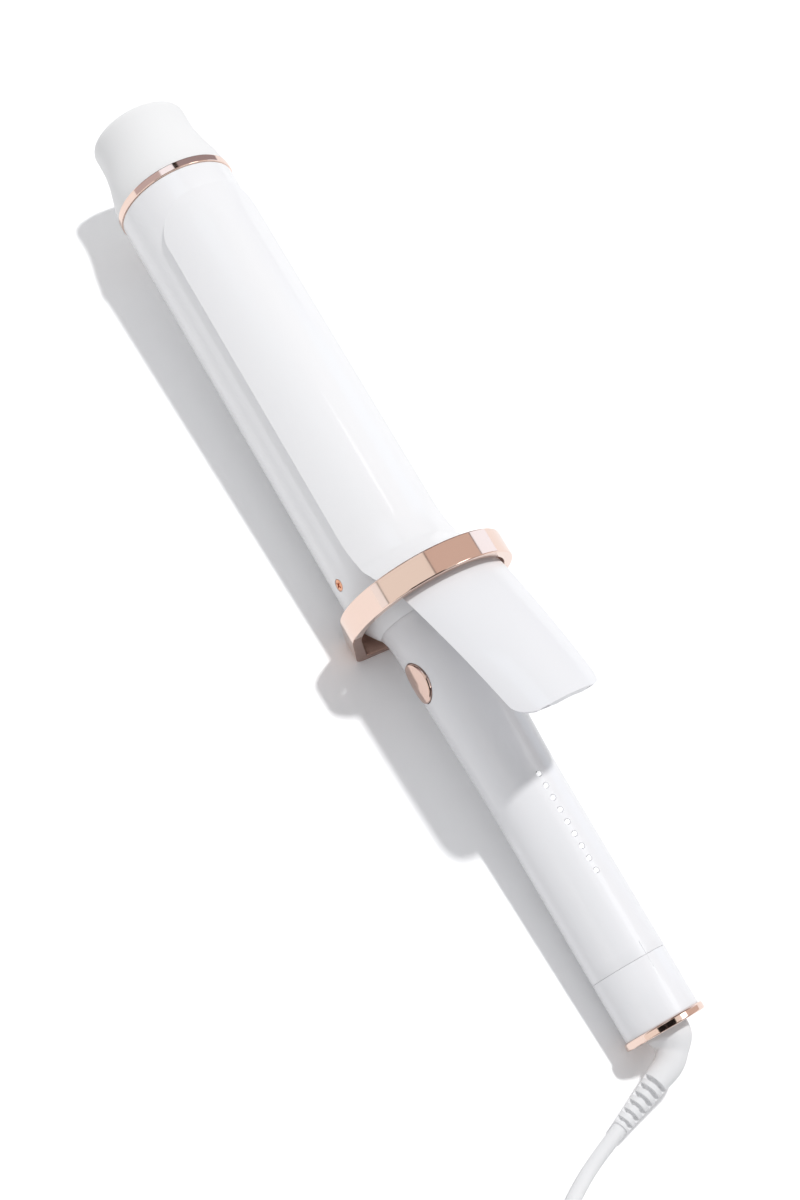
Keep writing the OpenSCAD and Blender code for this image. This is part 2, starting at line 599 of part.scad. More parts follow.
module swivel_core() color("#e4e4e6") place() difference() {
    union() {
        rod(x_ring - 0.2, x_core1 + 1.4, core_r);
        rod(-1.5, x_ring - 0.2 + eps, 4.6);
    }
    for (x = ring_x) translate([x, 0, 0]) rotate([0, 90, 0]) difference() {
        cylinder(r = core_r + 1, h = 2);
        translate([0, 0, -1]) cylinder(r = core_r - 0.8, h = 4);
    }
    translate([x_core1 - 1.2, 0, 0]) rotate([0, 90, 0]) difference() {
        cylinder(r = core_r + 1, h = 1);
        translate([0, 0, -1]) cylinder(r = core_r - 0.9, h = 4);
    }
}

module contact_rings() color(brass) place() for (x = ring_x) translate([x, 0, 0]) rotate([0, 90, 0]) difference() {
    cylinder(r = core_r, h = 2);
    translate([0, 0, -1]) cylinder(r = core_r - 0.8 + 0.01, h = 4);
}

module retaining_clip() color(steel) place() translate([x_core1 - 1.15, 0, 0]) rotate([0, 90, 0]) difference() {
    cylinder(r = core_r + 1.8, h = 0.9);
    translate([0, 0, -1]) cylinder(r = core_r - 0.9 + 0.02, h = 4);
    translate([0, -1.5, -1]) cube([20, 3, 4]);
}

module supply_wires() color("#e8e2d2") place() for (y = [-3.4, 3.4])
    translate([x_core1 + 1.5, y, 0]) {
        rotate([0, 90, 0]) cylinder(r = 0.9, h = x_board0 + 3 - x_core1 - 1.5, $fn = 24);
        translate([x_board0 + 2.2 - x_core1 - 1.5, 0, 0]) cylinder(r = 0.8, h = board_z - slip, $fn = 24);
    }

// ---------- strain relief ----------
// The relief leaves along the axis, bends through relief_bend and runs
// straight; its ribbed part has slots above and below, joined by two spines.
relief_bend_r = 9.5;
relief_turn = -13;
arc_len = relief_bend_r * relief_bend * PI / 180;
relief_total = arc_len + relief_len;
slot_pitch = 2.5;
slot_w = 1.1;
function relief_pos(s) = s < 0 ? [-s, 0] : s < arc_len
    ? let (a = relief_bend * s / arc_len) [-relief_bend_r * sin(a), relief_bend_r * (1 - cos(a))]
    : let (a = relief_bend, d = s - arc_len)
        [-relief_bend_r * sin(a) - d * cos(a), relief_bend_r * (1 - cos(a)) + d * sin(a)];
function relief_dir(s) = s <= 0 ? 0 : min(1, s / arc_len) * relief_bend;
relief_end_r = cord_d / 2 + 0.4;
function relief_rad(s) = s < 1.6 ? root_r : s < 7
    ? root_r + (4.4 - root_r) * smooth((s - 1.6) / 5.4)
    : 4.4 + (relief_end_r - 4.4) * (1 - pow(1 - min(1, (s - 7) / (relief_total - 7)), 1.25));
function relief_ring(s, cut = 0, n = 16) = let (p = relief_pos(s), a = relief_dir(s), r = relief_rad(s))
    [for (i = [0:n - 1]) let (t = 360 * i / n, q = abs(sin(t)) > 0.5 ? r - cut * r * 0.34 : r, side = q * cos(t), up = q * sin(t))
        [p[0] + side * sin(a), p[1] + side * cos(a), up]];
slot_s = [for (i = [0:slot_count - 1]) relief_total - 2.2 - i * slot_pitch];
module strain_relief() {
    low = slot_s[slot_count - 1] - slot_w;
    smooth_part = concat([-1.5, 0, 1.6], [for (i = [1:6]) 1.6 + (arc_len - 1.6) * i / 6], [for (i = [1:2]) arc_len + (low - arc_len) * i / 2]);
    rings = concat([for (s = smooth_part) relief_ring(s)],
        [for (i = [slot_count - 1:-1:0]) for (k = [0:3])
            relief_ring(slot_s[i] + [-slot_w / 2 - 0.05, -slot_w / 2, slot_w / 2, slot_w / 2 + 0.05][k], k == 1 || k == 2 ? 1 : 0)],
        [relief_ring(relief_total - 0.4), relief_ring(relief_total)]);
    color(white) place() difference() {
        rotate([relief_turn, 0, 0]) skin([for (i = [len(rings) - 1:-1:0]) rings[i]]);
        rod(-1.6, 5, 4.6 + 0.02);
    }
}

// ---------- lead and plug ----------
// points of the lead's run and of its tail, and the coil's centre, in the
// part's own frame, on the surface z = 0
run_points = [[-172.2, 24.4, 5.7], [-173.6, 28.1, 4.8], [-175.1, 32, 3.8], [-177.1, 36.8, 2.8],
    [-179.8, 42.4, 2.2], [-183.2, 48.6, 2], [-187, 55, 2], [-190.3, 61.5, 2], [-193, 68, 2], [-195, 74, 2]];
coil_c = [-220, 64];
coil_in = 17.5;
coil_out = 29.5;
coil_h = 16;
tail_points = [[-247.1, 59.2, 14], [-247, 54.3, 14], [-247.2, 49.4, 13.2], [-247.5, 44.6, 11.6], [-248.1, 39.9, 9.5],
    [-249.1, 35.4, 7.4], [-250.6, 31.1, 5.9], [-252.3, 27.8, 5.5]];
function unit(v) = v / norm(v);
// tube of radius r along a line of points, eight-sided
function tube_rings(p, r, n = 8) = [for (i = [0:len(p) - 1]) let (
    d = unit(p[min(len(p) - 1, i + 1)] - p[max(0, i - 1)]), side = unit(cross([0, 0, 1], d)), up = cross(d, side))
    [for (j = [0:n - 1]) let (a = 360 * (j + 0.5) / n) p[i] + r * (side * cos(a) + up * sin(a))]];
module cord_run() color(white) skin(tube_rings(run_points, cord_d / 2));
module cord_tail() color(white) skin(tube_rings(tail_points, cord_d / 2));
module cord_coil() color(white) translate([coil_c[0], coil_c[1], 0]) rotate_extrude()
    polygon([[coil_in + 2, 0], [coil_out - 2, 0], [coil_out - 0.6, 0.6], [coil_out, 2], [coil_out, coil_h - 3], [coil_out - 1, coil_h - 1],
        [coil_out - 3, coil_h], [coil_in + 3, coil_h], [coil_in + 1, coil_h - 1], [coil_in, coil_h - 3], [coil_in, 2], [coil_in + 0.6, 0.6]]);
tie_w = 6;
tie_in = sqrt(coil_in * coil_in - tie_w * tie_w / 4) - slip;
module cord_tie() color(dark) translate([coil_c[0], coil_c[1], 0]) rotate([0, 0, 120])
    translate([0, tie_w / 2, 0]) rotate([90, 0, 0]) linear_extrude(tie_w) difference() {
        translate([tie_in - 1, 0]) square([coil_out + 1 - tie_in + 1, coil_h + 1]);
        translate([tie_in, -1]) square([coil_out + slip - tie_in, coil_h + 1 + slip]);
    }
plug_at = [-252.3, 27.8, 5.5];
plug_dir = -120;
module plug_body() color(white) translate(plug_at) rotate([0, 0, plug_dir]) {
    hull() {
        translate([0.1, 0, 0]) rotate([0, 90, 0]) cylinder(r = 3.4, h = 1, $fn = 24);
        translate([9, -3, 0]) rotate([0, 90, 0]) cylinder(r = 4.6, h = 1, $fn = 24);
        translate([9, 3, 0]) rotate([0, 90, 0]) cylinder(r = 4.6, h = 1, $fn = 24);
    }
    hull() for (y = [-6.5, 6.5]) for (z = [-2.6, 2.6]) translate([9.5, y, z]) rotate([0, 90, 0]) cylinder(r = 2.8, h = 13, $fn = 24);
}
module plug_pins() color(brass) translate(plug_at) rotate([0, 0, plug_dir])
    for (y = [-6.35, 6.35]) translate([22.5, y - 0.75, -3.15]) cube([15.5, 1.5, 6.3]);

barrel();
tip_ring();
cool_tip();
neck();
handle_shell();
end_sleeve();
end_ring();
side_screws();
heater_shoes();
ceramic_element();
thermal_fuse();
temperature_sensor();
heat_shield();
heater_leads();
stand_band();
stand_screw();
hinge_bracket();
hinge_pin();
return_spring();
clamp_plate();
thumb_lever();
lever_strap();
hinge_ears();
lever_screws();
power_button();
button_switch();
circuit_board();
board_parts();
indicator_lights();
supply_wires();
swivel_socket();
brush_contacts();
swivel_core();
contact_rings();
retaining_clip();
strain_relief();
cord_run();
cord_coil();
cord_tie();
cord_tail();
plug_body();
plug_pins();
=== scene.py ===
import json
import math

import bmesh
import bpy
from mathutils import Matrix, Quaternion, Vector


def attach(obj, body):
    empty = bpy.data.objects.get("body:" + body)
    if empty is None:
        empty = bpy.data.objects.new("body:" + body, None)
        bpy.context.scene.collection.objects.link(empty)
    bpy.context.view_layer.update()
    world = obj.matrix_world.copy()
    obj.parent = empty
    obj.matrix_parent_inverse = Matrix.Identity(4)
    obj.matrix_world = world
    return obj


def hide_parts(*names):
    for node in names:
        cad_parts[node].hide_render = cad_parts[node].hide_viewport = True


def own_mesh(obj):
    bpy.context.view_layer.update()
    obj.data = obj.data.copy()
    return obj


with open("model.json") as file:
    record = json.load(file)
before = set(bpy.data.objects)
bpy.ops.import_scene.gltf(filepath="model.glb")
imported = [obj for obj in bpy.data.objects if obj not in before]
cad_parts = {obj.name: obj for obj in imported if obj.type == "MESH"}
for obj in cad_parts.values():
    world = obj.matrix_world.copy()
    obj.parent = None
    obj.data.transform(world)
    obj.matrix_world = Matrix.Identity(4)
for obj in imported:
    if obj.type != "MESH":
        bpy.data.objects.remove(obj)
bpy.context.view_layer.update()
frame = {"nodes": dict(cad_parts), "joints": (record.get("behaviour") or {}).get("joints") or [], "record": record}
nodes = frame["nodes"]

metre = 1000  # pieces are modelled in millimetres along the iron's own axis
scene = bpy.context.scene

# The iron's own frame: x = 0 is the end ring's outer face, +x the cool tip, +z the lever, +y the button
swivelJoint = next(j for j in frame["joints"] if j["name"] == "lead_swivel")
ironTilt = math.asin(swivelJoint["axis"][2])
placeIron = Matrix.Translation(swivelJoint["pos_m"]) @ Matrix.Rotation(-ironTilt, 4, "Y")
fromModel = placeIron @ Matrix.Scale(1 / metre, 4)


def ironBox(*names):
    # lowest and highest corners of CAD nodes along the iron's own axes, in millimetres
    back = fromModel.inverted()
    points = [back @ v.co for name in names for v in nodes[name].data.vertices]
    return (Vector([min(p[i] for p in points) for i in range(3)]),
            Vector([max(p[i] for p in points) for i in range(3)]))


barrelLow, barrelHigh = ironBox("barrel")
handleLow, handleHigh = ironBox("handle_shell")
xNeck, xBarrel, barrelR = barrelLow.x, barrelHigh.x, barrelHigh.z


view = {"position": (-0.18119, 0.28216, 0.50037), "direction": (0.28688, -0.48093, -0.8285),
        "roll": 31.49, "lens": 60, "frameHeight": 36}


def makeCamera():
    look = Vector(view["direction"]).to_track_quat("-Z", "Y")
    turn = look @ Quaternion((0, 0, 1), math.radians(view["roll"]))
    bpy.ops.object.camera_add(location=view["position"], rotation=turn.to_euler())
    camera = bpy.context.object
    camera.name = "Camera"
    camera.data.lens = view["lens"]
    camera.data.sensor_fit = "VERTICAL"
    camera.data.sensor_height = view["frameHeight"]
    camera.data.clip_start, camera.data.clip_end = 0.01, 20
    scene.camera = camera


makeCamera()
print("camera set")


lead = {
    "diameter": 4, "length": 1.8,
    # from the strain relief down to the surface and round to the coil, as in the part's source
    "run": [(-172.2, 24.4, 5.7), (-173.6, 28.1, 4.8), (-175.1, 32, 3.8), (-177.1, 36.8, 2.8),
            (-179.8, 42.4, 2.2), (-183.2, 48.6, 2), (-187, 55, 2), (-190.3, 61.5, 2),
            (-193, 68, 2)],
    # from the coil's top turn down to the plug
    "tail": [(-247, 54.3, 14), (-247.2, 49.4, 13.2), (-247.5, 44.6, 11.6), (-248.1, 39.9, 9.5),
             (-249.1, 35.4, 7.4), (-250.6, 31.1, 5.9), (-252.3, 27.8, 5.5)],
    "centre": (-220, 64), "innerTurn": 19.5, "turnsAcross": 3, "layers": 4,
    "start": 21.8, "turns": 11.467,  # degrees round the centre, and turns
    # in degrees: a crossing to the next turn, how much sooner it starts at a layer's end, and between points
    "crossing": 70, "sooner": 20, "step": 15,
}


def coilPoints():
    pitch, crossing, sooner = lead["diameter"], lead["crossing"], lead["sooner"]
    radius = lead["innerTurn"] + pitch * (lead["turnsAcross"] - 1)
    height, inward = pitch / 2, -1
    # every change of place: the angle where it starts, then its change of radius and of height
    moves, angle = [], lead["start"] + 360 - crossing
    for layer in range(lead["layers"]):
        for crossed in range(lead["turnsAcross"] - 1):
            moves.append((angle, inward * pitch, 0))
            angle += 360
        angle -= sooner
        if layer < lead["layers"] - 1:
            moves.append((angle, 0, pitch))
        angle += 360 - sooner
        inward = -inward
    end = lead["start"] + 360 * lead["turns"]
    count = round((end - lead["start"]) / lead["step"])
    centreX, centreY = lead["centre"]
    points = []
    for i in range(count + 1):
        at = lead["start"] + (end - lead["start"]) * i / count
        r, z = radius, height
        for start, dr, dz in moves:
            share = (1 - math.cos(math.pi * min(1, max(0, (at - start) / crossing)))) / 2
            r, z = r + dr * share, z + dz * share
        turn = math.radians(at)
        points.append((centreX + r * math.cos(turn), centreY + r * math.sin(turn), z))
    return points


def makeLead():
    points = lead["run"] + coilPoints() + lead["tail"]
    curve = bpy.data.curves.new("lead", "CURVE")
    curve.dimensions = "3D"
    curve.bevel_depth = lead["diameter"] / 2 / metre
    curve.bevel_resolution = 4
    curve.resolution_u = 4
    curve.use_fill_caps = True
    spline = curve.splines.new("BEZIER")
    spline.bezier_points.add(len(points) - 1)
    for knot, point in zip(spline.bezier_points, points):
        knot.co = Vector(point) / metre
        knot.handle_left_type = knot.handle_right_type = "AUTO"
    piece = bpy.data.objects.new("lead", curve)
    scene.collection.objects.link(piece)
    return piece


leadPiece = makeLead()
print("lead wound")


class Field:
    # one socket, on which Python's operators add Math nodes
    def __init__(self, graph, socket):
        self.graph, self.socket = graph, socket

    def maths(self, operation, other=None):
        sockets = {0: self} if other is None else {0: self, 1: other}
        return self.graph.node("ShaderNodeMath", {"operation": operation}, sockets)

    def __add__(self, other):
        return self.maths("ADD", other)

    def __mul__(self, other):
        return self.maths("MULTIPLY", other)

    __radd__ = __add__
    __rmul__ = __mul__

    def above(self, edge):
        return self.maths("GREATER_THAN", edge)


def setStops(ramp, stops):
    while len(ramp.elements) < len(stops):
        ramp.elements.new(0.5)
    for element, (place, colour) in zip(ramp.elements, stops):
        element.position, element.color = place, colour


class Graph:
    # a material's or the world's nodes
    def __init__(self, tree):
        self.tree = tree

    def feed(self, socket, value):
        if isinstance(value, Field):
            self.tree.links.new(value.socket, socket)
        else:
            socket.default_value = value

    def node(self, kind, settings=None, sockets=None, output=0):
        made = self.tree.nodes.new(kind)
        for name, value in (settings or {}).items():
            if name == "stops":
                setStops(made.color_ramp, value)
            else:
                setattr(made, name, value)
        for name, value in (sockets or {}).items():
            self.feed(made.inputs[name], value)
        return Field(self, made.outputs[output])

    def mix(self, share, first, second):
        return self.node("ShaderNodeMix", {"data_type": "RGBA"}, {0: share, 6: first, 7: second}, 2)

    def parts(self, vector):
        return [self.node("ShaderNodeSeparateXYZ", None, {0: vector}, i) for i in range(3)]


class Finish(Graph):
    def __init__(self, name, colour, roughness, **sockets):
        self.material = bpy.data.materials.new(name)
        self.material.use_nodes = True
        super().__init__(self.material.node_tree)
        self.shader = self.tree.nodes["Principled BSDF"]
        self.material.diffuse_color = (*colour, 1)
        self.set("Base Color", (*colour, 1))
        self.set("Roughness", roughness)
        for socket, value in sockets.items():
            self.set(socket, value)

    def set(self, socket, value):
        self.feed(self.shader.inputs[socket], value)

    def noise(self, scale, detail=2, stretch=(1, 1, 1)):
        place = self.node("ShaderNodeTexCoord", None, None, "Object")
        place = self.node("ShaderNodeMapping", None, {"Vector": place, "Scale": stretch})
        return self.node("ShaderNodeTexNoise", None, {"Vector": place, "Scale": scale, "Detail": detail})

    def blend(self, share, first, second):
        return self.mix(share, (*first, 1), (*second, 1))

    def pale(self, value):
        return self.node("ShaderNodeCombineColor", None, {0: value, 1: value, 2: value})

    def bump(self, height, strength, distance):
        self.set("Normal", self.node("ShaderNodeBump", None,
                                     {"Height": height, "Strength": strength, "Distance": distance}))


light = {
    "towards": (0.243, -0.165, 1), "strength": 1.7, "softness": 3.6,  # softness in degrees
    "ambient": (0.53, 0.535, 0.55),
    "floor": 0.86, "floorSeen": 1.12, "floorInMetal": 1,  # the floor's tone for light, the camera and metal
    # a strip lamp for the clamp alone, out along the lines that the clamp throws back to the camera
    "streak": {"ends": [(0.0347, 0.003, 0.0435), (0.0028, 0.0035, 0.0414)],
               "far": 1.5, "width": 0.15, "power": 4},
}

# tones of the studio's panels
bright, cool, grey = (0.98, 1.03, 1.08), (1.08, 1.22, 1.4), (0.88, 0.86, 0.83)
dim, dusk, tan, mauve = (0.67, 0.55, 0.5), (0.36, 0.32, 0.35), (0.95, 0.91, 0.87), (0.58, 0.52, 0.55)
gap, black, glare = (0.1, 0.08, 0.08), (0.012, 0.01, 0.01), (3.2, 3.2, 3.2)

# the studio as metal shows it: panels that start at an angle from straight up towards +y, in degrees
studio = {
    "rear": [(-180, cool), (-90, gap), (-89, dim), (-39, glare), (-22, grey), (-3, black),
             (24, gap), (26, black), (49, tan), (92, gap), (94, bright)],
    "middle": [(-180, cool), (-59.8, gap), (-58.9, dim), (9.2, gap), (10.6, grey),
               (78.2, gap), (79.1, bright)],
    "front": [(-180, cool), (-110, dusk), (-95, dusk), (-3, black), (5, cool), (31, mauve),
              (97, gap), (98.5, bright), (168, dusk)],
}
# how far along the iron a reflection points where one set of panels gives way to the next
joins = {"rear": (0.04, 0.07), "front": (0.34, 0.39), "ends": 0.62}
edgeBlur = 0.15  # degrees


def makePanels(graph, angle, panels):
    ends = [start for start, colour in panels[1:]] + [180 + edgeBlur]
    stops = []
    for (start, colour), end in zip(panels, ends):
        for edge in (start + edgeBlur, end - edgeBlur):
            stops.append(((edge + 180) / 360, (*colour, 1)))
    return graph.node("ShaderNodeValToRGB", {"stops": stops}, {0: angle})


def makeLight():
    sunward = Vector(light["towards"]).to_track_quat("Z", "Y")
    bpy.ops.object.light_add(type="SUN", location=(0, 0, 1), rotation=sunward.to_euler())
    sun = bpy.context.object
    sun.name = "Key light"
    sun.data.energy = light["strength"]
    sun.data.angle = math.radians(light["softness"])
    sun.visible_glossy = False


def makeWorld():
    # the camera sees white, metal and gloss see the panels, and the rest is an even glow
    world = bpy.data.worlds.new("Studio")
    scene.world = world
    world.use_nodes = True
    graph = Graph(world.node_tree)
    x, y, z = graph.parts(graph.node("ShaderNodeTexCoord", None, None, "Generated"))
    angle = y.maths("ARCTAN2", z) * (0.5 / math.pi) + 0.5
    glow = makePanels(graph, angle, studio["middle"])
    for part, (near, far) in (("rear", joins["rear"][::-1]), ("front", joins["front"])):
        share = graph.node("ShaderNodeMapRange", None, {0: x, 1: near, 2: far})
        glow = graph.mix(share, glow, makePanels(graph, angle, studio[part]))
    glow = graph.mix(x.maths("ABSOLUTE").above(joins["ends"]), glow, (*gap, 1))
    isGlossy = graph.node("ShaderNodeLightPath", None, None, "Is Glossy Ray")
    isCamera = graph.node("ShaderNodeLightPath", None, None, "Is Camera Ray")
    shown = graph.mix(isCamera, graph.mix(isGlossy, (*light["ambient"], 1), glow), (1, 1, 1, 1))
    graph.feed(world.node_tree.nodes["Background"].inputs["Color"], shown)
    scene.view_settings.view_transform = "Standard"


def makeStreak():
    # each end of the lamp is where the clamp mirrors the camera's line of sight
    strip, eye = light["streak"], Vector(view["position"])
    places = []
    for end in strip["ends"]:
        outwards = placeIron.inverted() @ Vector(end)
        normal = (placeIron.to_3x3() @ Vector((0, outwards.y, outwards.z))).normalized()
        places.append(Vector(end) + (Vector(end) - eye).normalized().reflect(normal) * strip["far"])
    middle, along = (places[0] + places[1]) / 2, places[1] - places[0]
    x = along.normalized()
    z = (middle - x * middle.dot(x)).normalized()
    turned = Matrix((x, z.cross(x), z)).transposed()
    bpy.ops.object.light_add(type="AREA", location=middle, rotation=turned.to_euler())
    lamp = bpy.context.object
    lamp.name = "Strip light"
    lamp.data.shape = "RECTANGLE"
    lamp.data.size, lamp.data.size_y = along.length, strip["width"]
    lamp.data.energy = strip["power"] * along.length * strip["width"] * math.pi
    lamp.visible_diffuse = False
    lamp.light_linking.receiver_collection = bpy.data.collections.new("Streak receivers")


def makeFloor():
    bpy.ops.mesh.primitive_plane_add(size=30, location=(0, 0, 0))
    floor = bpy.context.object
    floor.name = "Floor"
    tone = Finish("Floor paint", (light["floor"],) * 3, 0.9, **{"Specular IOR Level": 0})
    seen = tone.node("ShaderNodeLightPath", None, None, "Is Camera Ray")
    inMetal = tone.node("ShaderNodeLightPath", None, None, "Is Glossy Ray")
    tone.set("Base Color", tone.pale(seen * (light["floorSeen"] - light["floor"])
                                     + inMetal * (light["floorInMetal"] - light["floor"]) + light["floor"]))
    floor.data.materials.append(tone.material)


makeLight()
makeStreak()
makeWorld()
makeFloor()
print("studio lit")


def ceramicCoat():
    f = Finish("Ceramic coat", (0.925, 0.923, 0.93), 0.4, **{"Coat Weight": 0.5, "Coat Roughness": 0.06})
    f.set("Roughness", 0.36 + 0.1 * f.noise(220))
    f.bump(f.noise(900, 1), 0.05, 0.0001)
    return f


def mouldedWhite(name="Moulded white", colour=(0.87, 0.869, 0.884)):
    f = Finish(name, colour, 0.3, **{"Coat Weight": 0.4, "Coat Roughness": 0.08})
    f.set("Roughness", 0.26 + 0.12 * f.noise(160))
    f.bump(f.noise(700, 2), 0.06, 0.0001)
    return f


def softWhite():
    f = Finish("Cool tip white", (0.895, 0.893, 0.888), 0.55, **{"Specular IOR Level": 0.35})
    f.set("Roughness", 0.5 + 0.12 * f.noise(260))
    f.bump(f.noise(1800, 2), 0.12, 0.0001)
    return f


def plated(name, colour, deep, roughness):
    f = Finish(name, colour, roughness, Metallic=1)
    worn = f.noise(60, 4)
    f.set("Base Color", f.blend(worn, colour, deep))
    f.set("Roughness", roughness + 0.08 * f.noise(400, 3))
    return f


def steelFinish(name="Satin steel", colour=(0.62, 0.63, 0.65)):
    f = Finish(name, colour, 0.3, Metallic=1)
    grain = f.noise(500, 3, stretch=(1, 12, 12))
    f.set("Roughness", 0.26 + 0.16 * grain)
    f.set("Base Color", f.blend(grain, colour, tuple(c * 0.86 for c in colour)))
    return f


def rubberFinish(name, colour, roughness=0.5):
    f = Finish(name, colour, roughness, **{"Specular IOR Level": 0.4})
    f.set("Roughness", roughness + 0.1 * f.noise(300, 3))
    f.bump(f.noise(1500, 3), 0.15, 0.0001)
    return f


def plainPlastic(name, colour, roughness=0.45):
    f = Finish(name, colour, roughness)
    f.set("Base Color", f.blend(f.noise(90, 3), colour, tuple(c * 0.93 for c in colour)))
    f.set("Roughness", roughness + 0.1 * f.noise(350))
    return f


def lensFinish():
    # the lenses glow a faint even white, a painted glow that keeps them white in the lever's shade
    f = Finish("Clear lens", (0.95, 0.96, 0.97), 0.12,
               **{"Emission Color": (1, 1, 1, 1), "Emission Strength": 0.4, "Coat Weight": 1})
    f.set("Roughness", 0.1 + 0.08 * f.noise(900))
    return f


finishes = {
    "ceramic_coat": ceramicCoat(),
    "white_gloss": mouldedWhite(),
    "soft_white": softWhite(),
    "rose_gold": plated("Rose gold plate", (0.885, 0.69, 0.6), (0.87, 0.67, 0.575), 0.05),
    # the button's rose gold is a darker copy of the plate: painted shade for the dark reflection of the floor's
    # shadow on its left side
    "rose_button_painted_shade": plated("Rose gold button", (0.74, 0.55, 0.475), (0.72, 0.53, 0.455), 0.06),
    # a darker, rougher rose gold for the loop's inner face, lower sides and foot: partly a satin finish, partly
    # painted shade for the dark those faces mirror
    "rose_satin_painted_shade": plated("Rose gold inside", (0.5, 0.33, 0.27), (0.41, 0.26, 0.21), 0.28),
    "copper": plated("Copper plate", (0.82, 0.42, 0.26), (0.7, 0.33, 0.2), 0.16),
    "brass": plated("Brass", (0.8, 0.62, 0.3), (0.7, 0.52, 0.24), 0.22),
    "nickel": plated("Nickel plate", (0.72, 0.7, 0.66), (0.62, 0.6, 0.57), 0.2),
    "steel": steelFinish(),
    "shoe": steelFinish("Extruded aluminium", (0.76, 0.77, 0.78)),
    "heater": plainPlastic("Fired ceramic", (0.85, 0.83, 0.77), 0.6),
    "mica": plainPlastic("Mica board", (0.72, 0.66, 0.52), 0.55),
    "wire": rubberFinish("Wire sleeve", (0.84, 0.81, 0.74), 0.6),
    "board": plainPlastic("Circuit board", (0.06, 0.26, 0.15), 0.4),
    "dark": plainPlastic("Dark moulding", (0.05, 0.05, 0.055), 0.5),
    "nylon": plainPlastic("Natural nylon", (0.78, 0.78, 0.76), 0.5),
    "lens": lensFinish(),
    "lead": rubberFinish("White lead", (0.85, 0.85, 0.855), 0.48),
}

slotOf = {s["node"]: s["material_slot"] for s in frame["record"]["subparts"]}
for name, node in nodes.items():
    for i in range(max(1, len(node.material_slots))):
        if not node.material_slots:
            node.data.materials.append(None)
        node.material_slots[i].material = finishes[slotOf[name]].material
print("finishes mixed")


def only(piece):
    # the one piece that is active and selected, out of edit mode
    if bpy.context.object and bpy.context.object.mode == "EDIT":
        bpy.ops.object.mode_set(mode="OBJECT")
    bpy.ops.object.select_all(action="DESELECT")
    bpy.context.view_layer.objects.active = piece
    piece.select_set(True)


def edit(piece):
    only(piece)
    bpy.ops.object.mode_set(mode="EDIT")
    bpy.ops.mesh.select_mode(type="VERT")
    bpy.ops.mesh.select_all(action="DESELECT")


def leaveEdit():
    bpy.ops.object.mode_set(mode="OBJECT")


def pickAll():
    bpy.ops.mesh.select_all(action="SELECT")


def pick(kind, test):
    # selects faces, edges or vertices of the mesh in edit mode by a test on each
    mesh = bpy.context.object.data
    bpy.ops.mesh.select_mode(type={"faces": "FACE", "edges": "EDGE", "verts": "VERT"}[kind])
    bpy.ops.mesh.select_all(action="DESELECT")
    form = bmesh.from_edit_mesh(mesh)
    for element in getattr(form, kind):
        element.select_set(test(element))
    form.select_flush_mode()
    bmesh.update_edit_mesh(mesh)


def fixPlace():
    bpy.ops.object.transform_apply(location=True, rotation=True, scale=True)


def vertexAt(name, place):
    # a single vertex in edit mode, ready to be drawn out
    bpy.ops.object.select_all(action="DESELECT")
    bpy.ops.mesh.primitive_plane_add(size=1)
    piece = bpy.context.object
    piece.name = piece.data.name = name
    bpy.ops.object.mode_set(mode="EDIT")
    bpy.ops.mesh.select_mode(type="VERT")
    pickAll()
    bpy.ops.mesh.merge(type="CENTER")
    bpy.ops.transform.translate(value=place)
    return piece


def extrude(x, y, z):
    bpy.ops.mesh.extrude_region_move(TRANSFORM_OT_translate={"value": (x, y, z)})


def drawOut(path):
    # from the picked vertices along (x, z) points
    for before, after in zip(path, path[1:]):
        extrude(after[0] - before[0], 0, after[1] - before[1])


def flatFace(name, outline, x=0):
    # one face across the iron, from (y, z) points, with all of it picked in edit mode
    bpy.ops.object.select_all(action="DESELECT")
    bpy.ops.mesh.primitive_circle_add(vertices=len(outline), radius=1, fill_type="NGON")
    piece = bpy.context.object
    piece.name = piece.data.name = name
    for v, (y, z) in zip(piece.data.vertices, outline):
        v.co = (x, y, z)
    edit(piece)
    pick("faces", lambda f: True)
    return piece


def weld(gap=0.001):
    pickAll()
    bpy.ops.mesh.remove_doubles(threshold=gap)
    pickAll()
    bpy.ops.mesh.normals_make_consistent(inside=False)


def modify(piece, kind, **settings):
    only(piece)
    modifier = piece.modifiers.new(kind, kind)
    for name, value in settings.items():
        setattr(modifier, name, value)
    bpy.ops.object.modifier_apply(modifier=modifier.name)


def soften(piece, width, segments=3, angle=35):
    modify(piece, "BEVEL", width=width, segments=segments, limit_method="ANGLE",
           angle_limit=math.radians(angle), use_clamp_overlap=True)


def smooth(piece, angle=32, flats=False):
    only(piece)
    bpy.ops.object.shade_smooth_by_angle(angle=math.radians(angle))
    if flats:
        # wide faces keep their own normals beside rounded edges
        modify(piece, "WEIGHTED_NORMAL", keep_sharp=True, weight=80)


def cut(piece, *tools, operation="DIFFERENCE"):
    for tool in tools:
        modify(piece, "BOOLEAN", operation=operation, object=tool, solver="EXACT")
        bpy.data.objects.remove(tool)


def joined(pieces, name):
    only(pieces[0])
    for piece in pieces:
        piece.select_set(True)
    bpy.ops.object.join()
    pieces[0].name = pieces[0].data.name = name
    return pieces[0]


def settle(piece, finish, body, *replaced, place=fromModel, slot=None):
    # puts the finished mesh in the row frame and gives it its finish, body and the nodes it stands for
    only(piece)
    piece.data.transform(piece.matrix_world)
    piece.matrix_world = Matrix.Identity(4)
    piece.data.transform(place)
    piece.data.materials.clear()
    piece.data.materials.append(finishes[finish].material)
    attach(piece, body)
    if replaced:
        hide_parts(*replaced)
    return piece


